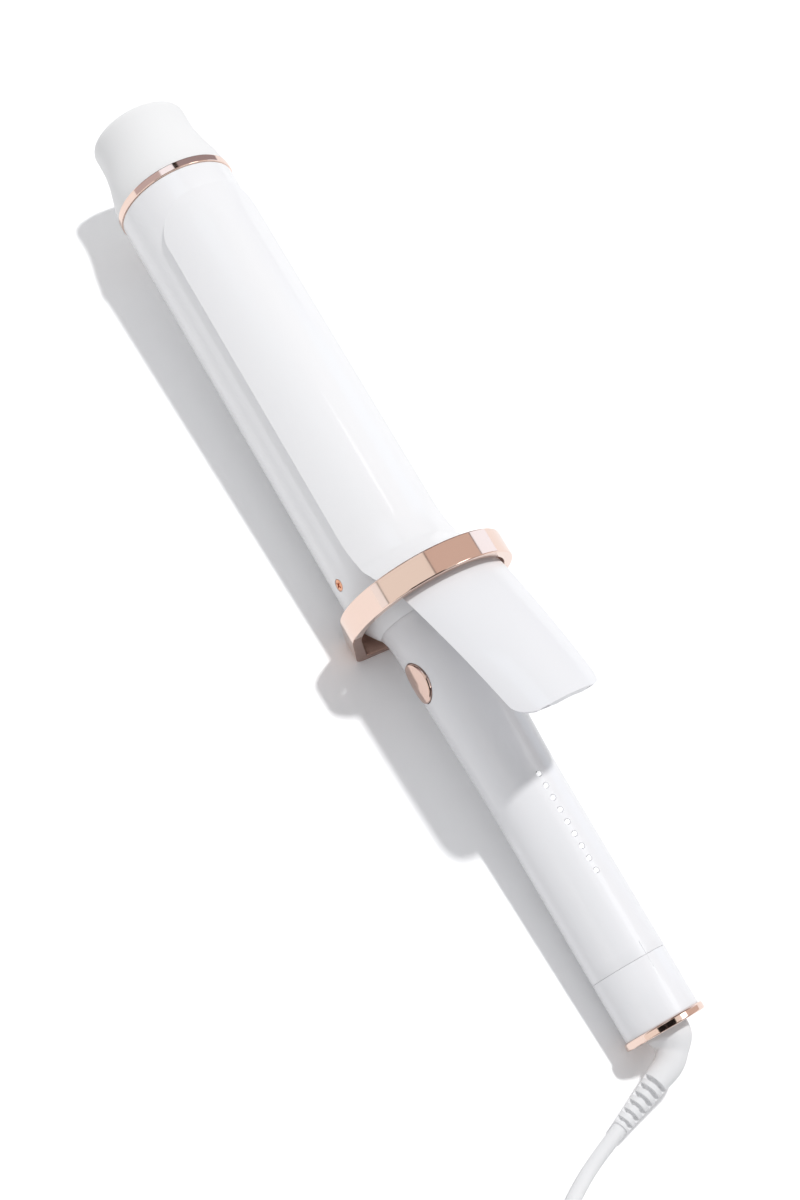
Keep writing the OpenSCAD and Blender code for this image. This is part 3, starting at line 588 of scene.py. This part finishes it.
def turn(name, outline, steps=128, closed=True):
    # a shape turned about the iron's axis, from (x, radius) points in order
    piece = vertexAt(name, (outline[0][0], 0, outline[0][1]))
    drawOut(outline + outline[:1] if closed else outline)
    pickAll()
    bpy.ops.mesh.spin(steps=steps, angle=2 * math.pi, center=(0, 0, 0), axis=(1, 0, 0))
    weld()
    leaveEdit()
    return piece


def arc(centre, radius, start, end, count=5):
    # points on an arc in the (x, radius) plane; degrees from +x towards +radius
    angles = [math.radians(start + (end - start) * i / count) for i in range(count + 1)]
    return [(centre[0] + radius * math.cos(a), centre[1] + radius * math.sin(a)) for a in angles]


def disc(radius, depth, location, axis="Z", vertices=48):
    # a cylinder along one of the iron's axes
    turned = {"X": (0, math.pi / 2, 0), "Y": (-math.pi / 2, 0, 0), "Z": (0, 0, 0)}[axis]
    bpy.ops.object.select_all(action="DESELECT")
    bpy.ops.mesh.primitive_cylinder_add(vertices=vertices, radius=radius, depth=depth,
                                        location=location, rotation=turned)
    fixPlace()
    return bpy.context.object


def block(size, location):
    bpy.ops.object.select_all(action="DESELECT")
    bpy.ops.mesh.primitive_cube_add(size=1, location=location)
    box = bpy.context.object
    box.scale = size
    fixPlace()
    return box


def oval(length, height, depth, location):
    # an oval rod along the iron's y axis
    bpy.ops.object.select_all(action="DESELECT")
    bpy.ops.mesh.primitive_cylinder_add(vertices=72, radius=1, depth=depth,
                                        location=location, rotation=(-math.pi / 2, 0, 0))
    rod = bpy.context.object
    rod.scale = (length / 2, height / 2, 1)
    fixPlace()
    return rod


def ease(share):
    share = min(1, max(0, share))
    return share * share * (3 - 2 * share)


barrel = {"rim": 0.25, "wall": 1.2, "screwFromRoot": 9, "screwRoom": 3, "recess": 1.95, "recessDepth": 0.9}
screwX = xNeck + barrel["screwFromRoot"]


def makeBarrel():
    rim, bore, room = barrel["rim"], barrelR - barrel["wall"], barrel["screwRoom"]
    outline = [(xNeck, bore), (xNeck, barrelR - rim), (xNeck + rim, barrelR), (screwX - room, barrelR),
               (screwX + room, barrelR), (xBarrel - rim, barrelR), (xBarrel, barrelR - rim), (xBarrel, bore)]
    piece = turn("barrel_tube", outline)
    for side in (-1, 1):
        cut(piece, disc(barrel["recess"], 2 * barrel["recessDepth"], (screwX, side * barrelR, 0), "Y"))
    smooth(piece)
    return settle(piece, "ceramic_coat", "iron", "barrel")


tip = {"end": 31, "round": 2, "flare": 1.35, "reach": 1.15,  # how soon the flare has levelled out
       "under": 0.1, "socket": 6, "socketRim": 4, "lip": (3.4, 3.8), "dish": 0.35,
       "ringDeep": 3, "ringEdge": (0.3, 0.09)}


def makeTipRing():
    low, high = ironBox("tip_ring")
    r, inner = high.z, barrelR - tip["ringDeep"]
    edge, slant = tip["ringEdge"]
    rear = [(low.x, inner), (low.x, r - edge), (low.x + slant, r - slant), (low.x + edge, r)]
    front = [(high.x - edge, r), (high.x - slant, r - slant), (high.x, r - edge), (high.x, inner)]
    ring = turn("tip_band", rear + front)
    smooth(ring, 40, flats=True)
    settle(ring, "rose_gold", "iron", "tip_ring")


def makeTip():
    x0, x1 = ironBox("tip_ring")[1].x, ironBox("cool_tip")[1].x
    rEnd, rRoot, edge = tip["end"] / 2, barrelR - tip["under"], tip["round"]
    socket, dish, count = tip["socket"], x1 - tip["dish"], 24
    flare = [(x0 + (x1 - edge - x0) * i / count,
              rEnd + (rRoot - rEnd) * (1 - ease(tip["reach"] * i / count)) ** tip["flare"])
             for i in range(count + 1)]
    outline = ([(x0 + socket, 0), (x0 + socket, barrelR - socket), (x0, barrelR - tip["socketRim"])] + flare
               + arc((x1 - edge, rEnd - edge), edge, 90, 0, 6)[1:]
               + [(x1, rEnd - tip["lip"][0]), (dish, rEnd - tip["lip"][1]), (dish, 0)])
    nose = turn("tip_cap", outline, closed=False)
    smooth(nose, 30)
    settle(nose, "soft_white", "iron", "cool_tip", slot="white_gloss")


screw = {"head": 1.75, "thick": 0.75, "dome": 0.12, "slot": 0.44, "slotLength": 2.2, "slotDepth": 0.5,
         "shank": 0.95, "length": 4.2, "overlap": 0.1, "edge": 0.06, "turned": 20}


def makeSideScrews():
    top = ironBox("side_screws")[1].y
    heads = []
    for side in (1, -1):
        head = disc(screw["head"], screw["thick"], (0, 0, -screw["thick"] / 2))
        edit(head)
        pick("faces", lambda f: f.normal.z > 0.9)
        for step in range(3):
            bpy.ops.mesh.inset(thickness=screw["head"] / 5)
            bpy.ops.transform.translate(value=(0, 0, screw["dome"] / 3))
        leaveEdit()
        long, narrow, deep = screw["slotLength"], screw["slot"], 2 * screw["slotDepth"]
        for size in ((long, narrow, deep), (narrow, long, deep)):
            cut(head, block(size, (0, 0, screw["dome"])))
        shankZ = screw["overlap"] - screw["thick"] - screw["length"] / 2
        shank = disc(screw["shank"], screw["length"], (0, 0, shankZ))
        cut(head, shank, operation="UNION")
        soften(head, screw["edge"], 2, 40)
        smooth(head)
        outwards = Matrix.Rotation(math.radians(-90 * side), 4, "X")
        lean = Matrix.Rotation(math.radians(screw["turned"]), 4, "Z")
        head.data.transform(Matrix.Translation((screwX, side * top, 0)) @ outwards @ lean)
        heads.append(head)
    settle(joined(heads, "barrel_screws"), "copper", "iron", "side_screws")


makeBarrel()
makeTipRing()
makeTip()
makeSideScrews()
print("barrel and tip made")


handle = {"rear": 22.9, "grow": 1.05, "swell": 0.437, "flare": 1.4, "flareLength": 3.2, "flaredOver": 14,
          "wall": 2, "widenInside": (50, 60), "seam": 0.06, "rearEdge": 0.22, "frontEdge": 0.16,
          "notch": 0.22, "notchDeep": 0.12, "notchLength": 7.7}
neck = {"under": 0.3, "rearStep": 0.1, "fit": 0.05,
        "spigot": 9, "passage": 9.2, "plug": 15, "plugWall": 2.6, "funnel": (3, 4),
        "seatDrop": 6.8, "seatLength": 8.8, "pinRise": 1.2, "yoke": 17.6, "screwHole": 1.05}
band = {"fromNeck": 1.2, "width": 8, "thick": 3, "foot": 4.2, "room": 4.5, "rise": 9.4, "corner": 5,
        "half": 12, "below": 2.2, "edge": 0.45, "footRound": 1.3, "paintedShadeSideTop": 5}
bandX = xNeck - band["fromNeck"] - band["width"] / 2
footZ = -(barrelR + band["below"])
pinZ = barrelR + neck["pinRise"]


def handleR(x):
    swell = (handleHigh.x - handleLow.x) * handle["swell"]
    return (handle["rear"] / 2 + handle["grow"] * ease((x - handleLow.x - swell) / swell)
            + handle["flare"] * math.exp(-(handleHigh.x - x) / handle["flareLength"]))


def makeNeck():
    x0, x1, seam, passage = handleHigh.x, xNeck, handle["seam"], neck["passage"]
    r0, r1 = handleR(x0), barrelR - neck["under"]
    rise = [(x0 + (x1 - x0) * i / 12, r0 + (r1 - r0) * math.sin(math.pi / 2 * i / 12)) for i in range(13)]
    fit, step = neck["fit"], neck["rearStep"]
    inside = handle["rear"] / 2 + handle["grow"] - handle["wall"] - fit
    bore = barrelR - barrel["wall"] - fit
    start, plugEnd, plugBore = x0 - neck["spigot"], x1 + neck["plug"], bore - neck["plugWall"]
    outline = ([(start, passage), (start, inside), (x0 + seam, inside), (x0 + seam, r0 - step)] + rise[1:]
               + [(x1, bore), (plugEnd, bore), (plugEnd, plugBore), (x1 + neck["funnel"][0], plugBore),
                  (x1 - neck["funnel"][1], passage)])
    piece = turn("neck_collar", outline)
    # a seat for the hinge's bracket, a flat for the loop's foot and the hole of its screw
    seat = neck["seatLength"]
    cut(piece,
        block((seat, neck["yoke"], barrelR), (x1 - seat / 2, 0, pinZ - neck["seatDrop"] + barrelR / 2)),
        block((band["width"] + 2 * fit, 2 * barrelR, barrelR),
              (bandX, 0, footZ + band["foot"] + fit - barrelR / 2)),
        disc(neck["screwHole"], barrelR, (bandX, 0, -barrelR), vertices=24))
    smooth(piece)
    settle(piece, "ceramic_coat", "iron", "neck", slot="white_gloss")


button = {"length": 12.6, "height": 9.8, "proud": 0.9, "gap": 0.2, "fromNeck": 27, "dome": 0.45,
          "edge": 0.5, "foot": 9, "loops": 7, "shrink": 0.82,
          # how much wider, how thick and where along y, and the stem's radius, length and place
          "flange": (1.8, 0.75, 8.6), "stem": (1.4, 2.2, 7.6),
          "opening": (20, 15)}  # the cutter's length and its middle's place along y
lights = {"count": 9, "pitch": 3.86, "diameter": 1.35, "centre": 82.38, "proud": 0.1, "gap": 0.27,
          "deep": 6, "sunk": 0.03, "opening": (8, 13)}
spring = {"radius": 3.2, "wire": 0.5, "fromNeck": 18, "turns": 6, "steps": 36,
          "seatR": 5, "seatBore": 4, "seatHigh": 3, "seatAt": -0.4, "boreAt": 1.4}
buttonX, springX = xNeck - button["fromNeck"], xNeck - spring["fromNeck"]
lightX = [xNeck - lights["centre"] - (i - 4) * lights["pitch"] for i in range(lights["count"])]


def seamNotch(x):
    # a bar that nicks the top of the seam between the handle and its sleeve
    height = 2
    middle = handle["rear"] / 2 + height / 2 - handle["notchDeep"]
    return block((handle["notchLength"], handle["notch"], height), (x, 0, middle))


def makeHandle():
    x0, x1, seam, flared = handleLow.x, handleHigh.x, handle["seam"], handle["flaredOver"]
    stations = [x0 + (x1 - flared - x0) * i / 28 for i in range(29)]
    stations += [x1 - flared + i for i in range(1, flared + 1)]
    outer = [(x, handleR(x)) for x in stations]
    outer[0] = (x0 + seam / 2, handleR(x0) - seam)
    outer.insert(1, (x0 + handle["rearEdge"], handleR(x0)))
    outer[-1] = (x1 - handle["frontEdge"], handleR(x1 - handle["frontEdge"]))
    outer.append((x1, handleR(x1) - seam))
    inner = handle["rear"] / 2 - handle["wall"]
    wider = handle["rear"] / 2 + handle["grow"] - handle["wall"]
    first, last = handle["widenInside"]
    outline = outer + [(x1, wider), (x0 + last, wider), (x0 + first, inner), (x0 + seam / 2, inner)]
    piece = turn("handle_body", outline)
    # the spring's cup, then the openings for the button and the lights
    high, seatZ = spring["seatHigh"], handleR(springX)
    around, (deep, y) = 2 * button["gap"], button["opening"]
    cut(piece, disc(spring["seatR"], high, (springX, 0, seatZ + spring["seatAt"])), operation="UNION")
    cut(piece, disc(spring["seatBore"], high, (springX, 0, seatZ + spring["boreAt"])),
        oval(button["length"] + around, button["height"] + around, deep, (buttonX, y, 0)), seamNotch(x0))
    deep, z = lights["opening"]
    for x in lightX:
        cut(piece, disc(lights["diameter"] / 2 + lights["gap"], deep, (x, 0, z), vertices=32))
    smooth(piece, 28)
    settle(piece, "white_gloss", "iron", "handle_shell")


sleeve = {"chamfer": 0.2, "under": (0.25, 0.13, 0.02)}  # under the handle's radius, from the rear forwards


def makeSleeve():
    low, high = ironBox("end_sleeve")
    r, inner, seam = handle["rear"] / 2, handle["rear"] / 2 - handle["wall"], handle["seam"]
    front, fullX = high.x - seam / 2, high.x - handle["rearEdge"]
    first, second, third = sleeve["under"]
    piece = turn("rear_sleeve", [(low.x, r - first), (low.x + sleeve["chamfer"], r - second),
                                 (fullX, r - third), (front, r - seam), (front, inner), (low.x, inner)])
    cut(piece, seamNotch(high.x))
    smooth(piece, 28)
    settle(piece, "white_gloss", "iron", "end_sleeve")


endRing = {"width": 2.2, "round": 0.5, "seat": 6.6, "lip": 2,
           "groove": (9.4, 9.7, 10.2, 10.5), "grooveDeep": 0.25}


def makeEndRing():
    r, width, edge, seat = ironBox("end_ring")[1].z, endRing["width"], endRing["round"], endRing["seat"]
    first, second, third, fourth = endRing["groove"]
    deep, lip = endRing["grooveDeep"], width + endRing["lip"]
    outline = ([(0, seat), (0, first), (deep, second), (deep, third), (0, fourth)]
               + arc((edge, r - edge), edge, 180, 90, 4) + arc((width - edge, r - edge), edge, 90, 0, 4)
               + [(width, first), (lip, first), (lip, seat)])
    piece = turn("end_trim", outline)
    smooth(piece, 40, flats=True)
    settle(piece, "rose_gold", "iron", "end_ring")


makeNeck()
makeHandle()
makeSleeve()
makeEndRing()
print("handle made")


def makeButton():
    # an oval key whose top follows the handle's curve and is softly domed
    crest, foot = handleR(buttonX) + button["proud"], button["foot"]
    piece = oval(button["length"], button["height"], crest - foot, (buttonX, (crest + foot) / 2, 0))
    piece.name = piece.data.name = "push_button"
    edit(piece)
    pick("faces", lambda f: f.normal.y > 0.9)
    bpy.ops.mesh.bevel(offset=button["edge"], segments=4, affect="EDGES")
    pick("faces", lambda f: f.normal.y > 0.99)
    for step in range(button["loops"]):
        extrude(0, 0, 0)
        inwards = (button["shrink"], 1, button["shrink"])
        bpy.ops.transform.resize(value=inwards, center_override=(buttonX, crest, 0))
    leaveEdit()
    for v in piece.data.vertices:
        if v.co.y > foot + 1:
            across = v.co.z / (button["height"] / 2)
            along = (v.co.x - buttonX) / (button["length"] / 2)
            curve = crest - math.sqrt(crest * crest - v.co.z * v.co.z)
            v.co.y += -curve - button["dome"] * (across * across + along * along) / 2
    edit(piece)
    weld()
    leaveEdit()
    wider, thick, y = button["flange"]
    flange = oval(button["length"] + wider, button["height"] + wider, thick, (buttonX, y, 0))
    r, length, y = button["stem"]
    cut(piece, flange, disc(r, length, (buttonX, y, 0), "Y"), operation="UNION")
    smooth(piece, 30)
    # the button takes the darker rose gold, painted shade for the floor shadow that it mirrors
    settle(piece, "rose_button_painted_shade", "button", "power_button", slot="rose_gold")


def makeLights():
    lenses = []
    for x in lightX:
        r = lights["diameter"] / 2
        lens = disc(r, lights["deep"], (0, 0, -lights["deep"] / 2), vertices=32)
        edit(lens)
        pick("faces", lambda f: f.normal.z > 0.9)
        for step in range(1, 5):
            bpy.ops.mesh.inset(thickness=r / 5)
            bpy.ops.transform.translate(value=(0, 0, lights["proud"] * (5 - step) / 10))
        leaveEdit()
        smooth(lens, 50)
        lens.data.transform(Matrix.Translation((x, 0, handleR(x) - lights["sunk"])))
        lenses.append(lens)
    settle(joined(lenses, "light_lenses"), "lens", "iron", "indicator_lights")


makeButton()
makeLights()
print("button and lights made")


sheet = {"width": 34, "thick": 0.8, "gap": 0.3, "setback": 8.4, "corner": 11,
         "reach": 57, "leverEnd": 28, "leverThick": 1.8, "leverCorner": 5.5, "split": 0.05,
         "edge": 0.24, "leverEdge": 0.5,
         "lift": 7.7, "liftStart": 18, "liftLength": 30, "arch": 6.5, "endArch": 6.25,
         "slope": 0.48, "slopeEase": 0.0018, "slopeStart": 6, "columns": 40}
plateR = barrelR + sheet["gap"] + sheet["thick"]
plateEdge = math.sqrt(plateR ** 2 - (sheet["width"] / 2) ** 2)
leverEnd, clampEnd = xNeck - sheet["reach"], xBarrel - sheet["setback"]


def sheetRow(x):
    # half width, height of the crown and radius across, at a station along the iron
    over = ease((xNeck + sheet["liftStart"] - x) / sheet["liftLength"])
    back = max(0, xNeck + sheet["slopeStart"] - x)
    share = max(0, (bandX - x) / (bandX - leverEnd))
    edge = plateEdge + sheet["lift"] * over + sheet["slope"] * back - sheet["slopeEase"] * back * back
    flat = plateR - plateEdge
    arch = flat + (sheet["arch"] - flat) * over + (sheet["endArch"] - sheet["arch"]) * share
    half = sheet["width"] / 2 + (sheet["leverEnd"] - sheet["width"]) / 2 * share
    return half, edge + arch, (half * half + arch * arch) / (2 * arch)


def cornered(half, corner, along):
    # half width near a round corner
    return half if along >= corner else half - corner + math.sqrt(max(0, corner ** 2 - (corner - along) ** 2))


def layRows(name, stations, halfAt, thick, edge):
    # one row of the sheet is spun as an arc, then drawn out station by station
    x = stations[0]
    crown, r = sheetRow(x)[1:]
    half = halfAt(x)
    lean = math.asin(half / r)
    piece = vertexAt(name, (x, -half, crown - r + r * math.cos(lean)))
    bpy.ops.mesh.spin(steps=sheet["columns"], angle=2 * lean, center=(x, 0, crown - r), axis=(1, 0, 0))
    pickAll()
    last = (x, crown, half, r - r * math.cos(lean))
    for x in stations[1:]:
        crown, r = sheetRow(x)[1:]
        half = halfAt(x)
        sag = r - math.sqrt(r * r - half * half)
        extrude(x - last[0], 0, crown - last[1])
        bpy.ops.transform.resize(value=(1, half / last[2], sag / last[3]), center_override=(x, 0, crown))
        last = (x, crown, half, sag)
    weld(0.0005)
    leaveEdit()
    up = sum(f.normal.z for f in piece.data.polygons) > 0
    modify(piece, "SOLIDIFY", thickness=thick, offset=-1 if up else 1, use_even_offset=True)
    soften(piece, edge, 3, 50)
    smooth(piece, 35, flats=True)
    return piece


def makeClamp():
    corner, joint, rise = sheet["corner"], bandX + sheet["split"], xNeck + sheet["liftStart"]
    turns = [clampEnd - corner * (1 - math.cos(math.radians(a))) for a in range(0, 91, 6)]
    straight = [turns[-1] - (turns[-1] - rise) * i / 14 for i in range(1, 15)]
    rising = [rise - (rise - joint) * i / 22 for i in range(1, 23)]
    half = sheet["width"] / 2
    plate = layRows("clamp_tongue", turns + straight + rising,
                    lambda x: cornered(half, corner, clampEnd - x), sheet["thick"], sheet["edge"])
    settle(plate, "ceramic_coat", "clamp", "clamp_plate")
    bpy.data.collections["Streak receivers"].objects.link(plate)


def makeLever():
    corner, joint = sheet["leverCorner"], bandX - sheet["split"]
    turns = [leverEnd + corner * (1 - math.cos(math.radians(a))) for a in range(90, -1, -6)]
    straight = [joint - (joint - turns[0]) * i / 26 for i in range(26)]
    lever = layRows("lever_paddle", straight + turns,
                    lambda x: cornered(sheetRow(x)[0], corner, x - leverEnd),
                    sheet["leverThick"], sheet["leverEdge"])
    settle(lever, "white_gloss", "clamp", "thumb_lever")


makeClamp()
makeLever()
print("clamp and lever made")


def bandOutline():
    # the loop round the neck, seen along the iron: an arch, two lower corners and a flat foot
    r, corner = barrelR + band["room"] + band["thick"], band["corner"]
    low = (band["half"], footZ + corner)
    away = (low[0], low[1] - band["rise"])
    lean = math.atan2(away[1], away[0]) + math.acos((r - corner) / math.hypot(*away))
    arch = [lean + (math.pi - 2 * lean) * i / 96 for i in range(97)]
    left = [math.pi - lean + (math.pi / 2 + lean) * i / 10 for i in range(11)]
    right = [1.5 * math.pi + (math.pi / 2 + lean) * i / 10 for i in range(10)]
    points = [(r * math.cos(a), band["rise"] + r * math.sin(a)) for a in arch]
    points += [(-low[0] + corner * math.cos(a), low[1] + corner * math.sin(a)) for a in left[1:]]
    return points + [(low[0] + corner * math.cos(a), low[1] + corner * math.sin(a)) for a in right]


def takesPaintedShade(centre, normal):
    # the loop's inner face, its lower sides and the foot bar take a darker satin rose gold, painted shade for the
    # dark that they mirror; the rest is polished
    towards = Vector((0, -centre.y, band["rise"] - centre.z)).normalized()
    onFoot = (centre.z < footZ + band["foot"] + 0.8
              and (abs(centre.y) < band["half"] - 1 or abs(normal.x) > 0.3))
    lowSide = abs(normal.x) > 0.6 and centre.z < band["paintedShadeSideTop"]
    return onFoot or lowSide or normal.dot(towards) > 0.5


def onFootEdge(edge):
    # one of the foot bar's upper edges across the iron
    one, other = (v.co for v in edge.verts)
    along, across, up = (abs(d) for d in one - other)
    return (along < 0.01 and across > 4 and up < 0.1
            and all(footZ + 1 < end.z < footZ + band["foot"] + 0.1 for end in (one, other)))


def makeBand():
    piece = flatFace("stand_loop", bandOutline())
    bpy.ops.mesh.inset(thickness=band["thick"])
    bpy.ops.mesh.delete(type="FACE")
    # the foot bar is thicker than the loop
    near, footIn = 1.9, footZ + band["thick"]
    pick("verts", lambda v: abs(v.co.z - footIn) < near and abs(v.co.y) < band["half"] + near)
    bpy.ops.transform.translate(value=(0, 0, band["foot"] - band["thick"]))
    pickAll()
    extrude(band["width"], 0, 0)
    pickAll()
    bpy.ops.transform.translate(value=(bandX - band["width"] / 2, 0, 0))
    weld()
    pick("edges", onFootEdge)
    bpy.ops.mesh.bevel(offset=band["footRound"], segments=5, affect="EDGES")
    leaveEdit()
    soften(piece, band["edge"], 3, 50)
    # the foot and the end ring stand on the surface, so the foot is cut level
    piece.data.transform(fromModel)
    edit(piece)
    pickAll()
    bpy.ops.mesh.bisect(plane_co=(0, 0, 0), plane_no=(0, 0, 1), use_fill=True, clear_inner=True)
    leaveEdit()
    smooth(piece, 32, flats=True)
    settle(piece, "rose_gold", "iron", "stand_band", place=Matrix.Identity(4))
    # the inner face, lower sides and foot bar take the darker rose gold: painted shade
    piece.data.materials.append(finishes["rose_satin_painted_shade"].material)
    toModel, turnBack = fromModel.inverted(), placeIron.inverted().to_3x3()
    for face in piece.data.polygons:
        face.material_index = int(takesPaintedShade(toModel @ face.center, turnBack @ face.normal))


makeBand()
print("stand made")


relief = {"root": 12.6, "bend": 70, "bendR": 9.5, "turned": -13, "straight": 20, "mid": 4.4, "over": 0.4,
          "slots": 6, "pitch": 2.7, "last": 1.5, "slot": 1.35, "core": 0.52, "spine": 0.2,
          "sunk": 1.5, "shoulder": (1.6, 7), "taper": 1.25, "tipEdge": (0.15, 0.25), "edge": 0.2}
reliefArc = relief["bendR"] * math.radians(relief["bend"])
reliefLength = reliefArc + relief["straight"]


def reliefR(s):
    # radius at a distance from the handle
    root, mid, end = relief["root"] / 2, relief["mid"], lead["diameter"] / 2 + relief["over"]
    first, last = relief["shoulder"]
    if s < last:
        return root + (mid - root) * ease((s - first) / (last - first))
    return mid + (end - mid) * (1 - (1 - min(1, (s - last) / (reliefLength - last))) ** relief["taper"])


def makeRelief():
    # turned straight, slotted above and below, then bent round to the lead's direction
    start, (back, inwards) = -relief["sunk"], relief["tipEdge"]
    stations = [start, 0] + [reliefLength * i / 72 for i in range(1, 72)] + [reliefLength - back]
    outline = ([(start, 0)] + [(s, reliefR(s)) for s in stations]
               + [(reliefLength, reliefR(reliefLength) - inwards), (reliefLength, 0)])
    piece = turn("cord_boot", outline, steps=72, closed=False)
    for i in range(relief["slots"]):
        s = reliefLength - relief["last"] - i * relief["pitch"]
        r = reliefR(s)
        for side in (-1, 1):
            tool = block((relief["slot"], 4 * r, 2 * r), (s, 0, side * r * (1 + relief["spine"])))
            cut(tool, disc(relief["core"] * r, 2 * relief["slot"], (s, 0, 0), "X"))
            cut(piece, tool)
    soften(piece, relief["edge"], 3, 45)
    bendR, bend = relief["bendR"], math.radians(relief["bend"])
    for v in piece.data.vertices:
        s, side, up = v.co
        if s < 0:
            v.co = (-s, side, up)
        elif s < reliefArc:
            a = bend * s / reliefArc
            v.co = (-(bendR - side) * math.sin(a), bendR - (bendR - side) * math.cos(a), up)
        else:
            d = s - reliefArc
            v.co = (-(bendR - side) * math.sin(bend) - d * math.cos(bend),
                    bendR - (bendR - side) * math.cos(bend) + d * math.sin(bend), up)
    edit(piece)
    pickAll()
    bpy.ops.mesh.normals_make_consistent(inside=False)
    leaveEdit()
    piece.data.transform(Matrix.Rotation(math.radians(relief["turned"]), 4, "X"))
    smooth(piece, 32)
    settle(piece, "lead", "swivel", "strain_relief")
    return piece


reliefPiece = makeRelief()
print("strain relief made")


def makeSpring():
    # a ring of wire, drawn up and round step by step
    low, high = ironBox("return_spring")
    wire, steps = spring["wire"], spring["steps"]
    bpy.ops.object.select_all(action="DESELECT")
    bpy.ops.mesh.primitive_circle_add(vertices=10, radius=wire, rotation=(math.pi / 2, 0, 0))
    piece = bpy.context.object
    piece.name = piece.data.name = "lever_spring"
    fixPlace()
    edit(piece)
    pickAll()
    bpy.ops.transform.translate(value=(springX + spring["radius"], 0, low.z + wire))
    count = steps * spring["turns"]
    climb = (high.z - low.z - 2 * wire) / count
    for i in range(count):
        extrude(0, 0, climb)
        bpy.ops.transform.rotate(value=math.radians(360 / steps), orient_axis="Z",
                                 center_override=(springX, 0, 0))
    bpy.ops.mesh.select_all(action="DESELECT")
    bpy.ops.mesh.select_mode(type="EDGE")
    bpy.ops.mesh.select_non_manifold()
    bpy.ops.mesh.edge_face_add()
    pickAll()
    bpy.ops.mesh.normals_make_consistent(inside=False)
    leaveEdit()
    smooth(piece, 50)
    settle(piece, "steel", "iron", "return_spring")
    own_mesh(piece)


makeSpring()
print("spring made")


plug = {
    "at": (-252.3, 27.8, 5.5), "turned": -120, "width": 18.6, "height": 10.8, "corner": 2.8, "edge": 0.3,
    # distance from the lead, with the share of the width and of the height that it has there
    "sections": [(0.1, 0.37, 0.63), (1.1, 0.37, 0.63), (2.6, 0.4, 0.68), (5, 0.56, 0.76), (8, 0.8, 0.87),
                 (10.4, 0.93, 0.94), (12.4, 0.985, 0.985), (14, 1, 1), (22.5, 1, 1)],
    "grips": 4, "grip": 0.7, "gripPitch": 1.9, "gripDeep": 0.45, "gripFromFace": 2.4, "gripHeight": 0.62,
    "blade": (15.5, 1.5, 6.3), "apart": 12.7, "hole": 1.6, "holeAt": 11.6, "taper": (0.55, 0.86),
}


def onFloor(x, y, z, turned):
    # from a part's own millimetres to its place beside the iron
    return (Matrix.Scale(1 / metre, 4) @ Matrix.Translation((x, y, z))
            @ Matrix.Rotation(math.radians(turned), 4, "Z"))


plugPlace = onFloor(*plug["at"], plug["turned"])
plugFace = plug["sections"][-1][0]


def makePlug():
    # a rounded oblong outline, drawn out and resized from the lead to the face
    half, high, corner = plug["width"] / 2, plug["height"] / 2, plug["corner"]
    outline = []
    for side, up, start in ((1, 1, 0), (-1, 1, 90), (-1, -1, 180), (1, -1, 270)):
        centre = (side * (half - corner), up * (high - corner))
        outline += arc(centre, corner, start, start + 90, 6)
    start, wide, tall = plug["sections"][0]
    piece = flatFace("plug_moulding", [(y * wide, z * tall) for y, z in outline], start)
    for x, newWide, newTall in plug["sections"][1:]:
        extrude(x - start, 0, 0)
        bpy.ops.transform.resize(value=(1, newWide / wide, newTall / tall), center_override=(x, 0, 0))
        start, wide, tall = x, newWide, newTall
    weld()
    leaveEdit()
    groove = (plug["grip"], 2 * plug["gripDeep"], plug["height"] * plug["gripHeight"])
    for i in range(plug["grips"]):
        for side in (-1, 1):
            x = plugFace - plug["gripFromFace"] - i * plug["gripPitch"]
            cut(piece, block(groove, (x, side * half, 0)))
    soften(piece, plug["edge"], 3, 50)
    smooth(piece, 40)
    return settle(piece, "lead", "swivel", "plug_body", place=plugPlace, slot=slotOf["plug_body"])


def makeBlades():
    length, thick, wide = plug["blade"]
    thinner, narrower = plug["taper"]
    blades = []
    for y in (-plug["apart"] / 2, plug["apart"] / 2):
        blade = block((length, thick, wide), (plugFace + length / 2, y, 0))
        edit(blade)
        pick("faces", lambda f: f.normal.x > 0.9)
        bpy.ops.transform.resize(value=(1, thinner, narrower), center_override=(plugFace + length, y, 0))
        leaveEdit()
        blade.data.update()
        cut(blade, disc(plug["hole"], 3 * thick, (plugFace + plug["holeAt"], y, 0), "Y", 32))
        soften(blade, 0.15, 2, 40)
        smooth(blade, 35)
        blades.append(blade)
    return settle(joined(blades, "plug_blades"), "nickel", "swivel", "plug_pins",
                  place=plugPlace, slot=slotOf["plug_pins"])


tie = {"turned": 120, "width": 6, "thick": 0.8, "inner": 17.3, "outer": 29.75, "top": 16.15, "corner": 2.2,
       "edge": 0.2, "low": 0.05}


def makeTie():
    # a strap drawn as a path over the coil's turns
    inner, outer, corner, top = tie["inner"], tie["outer"], tie["corner"], tie["top"] - tie["corner"]
    path = ([(inner, tie["low"])] + arc((inner + corner, top), corner, 180, 90, 6)
            + arc((outer - corner, top), corner, 90, 0, 6) + [(outer, tie["low"])])
    piece = vertexAt("lead_tie", (inner, -tie["width"] / 2, tie["low"]))
    drawOut(path)
    pickAll()
    extrude(0, tie["width"], 0)
    weld(0.0005)
    leaveEdit()
    up = max(piece.data.polygons, key=lambda f: f.center.z).normal.z > 0
    modify(piece, "SOLIDIFY", thickness=tie["thick"], offset=1 if up else -1, use_even_offset=True)
    soften(piece, tie["edge"], 2, 50)
    smooth(piece, 35)
    return settle(piece, slotOf["cord_tie"], "swivel", "cord_tie",
                  place=onFloor(*lead["centre"], 0, tie["turned"]))


plugPieces = [makePlug(), makeBlades(), makeTie()]
print("plug and tie made")

# the lead takes its finish, body and form last, when all that goes with it is made
leadPiece.data.materials.append(finishes["lead"].material)
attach(leadPiece, "swivel")
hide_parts("cord_run", "cord_coil", "cord_tail")
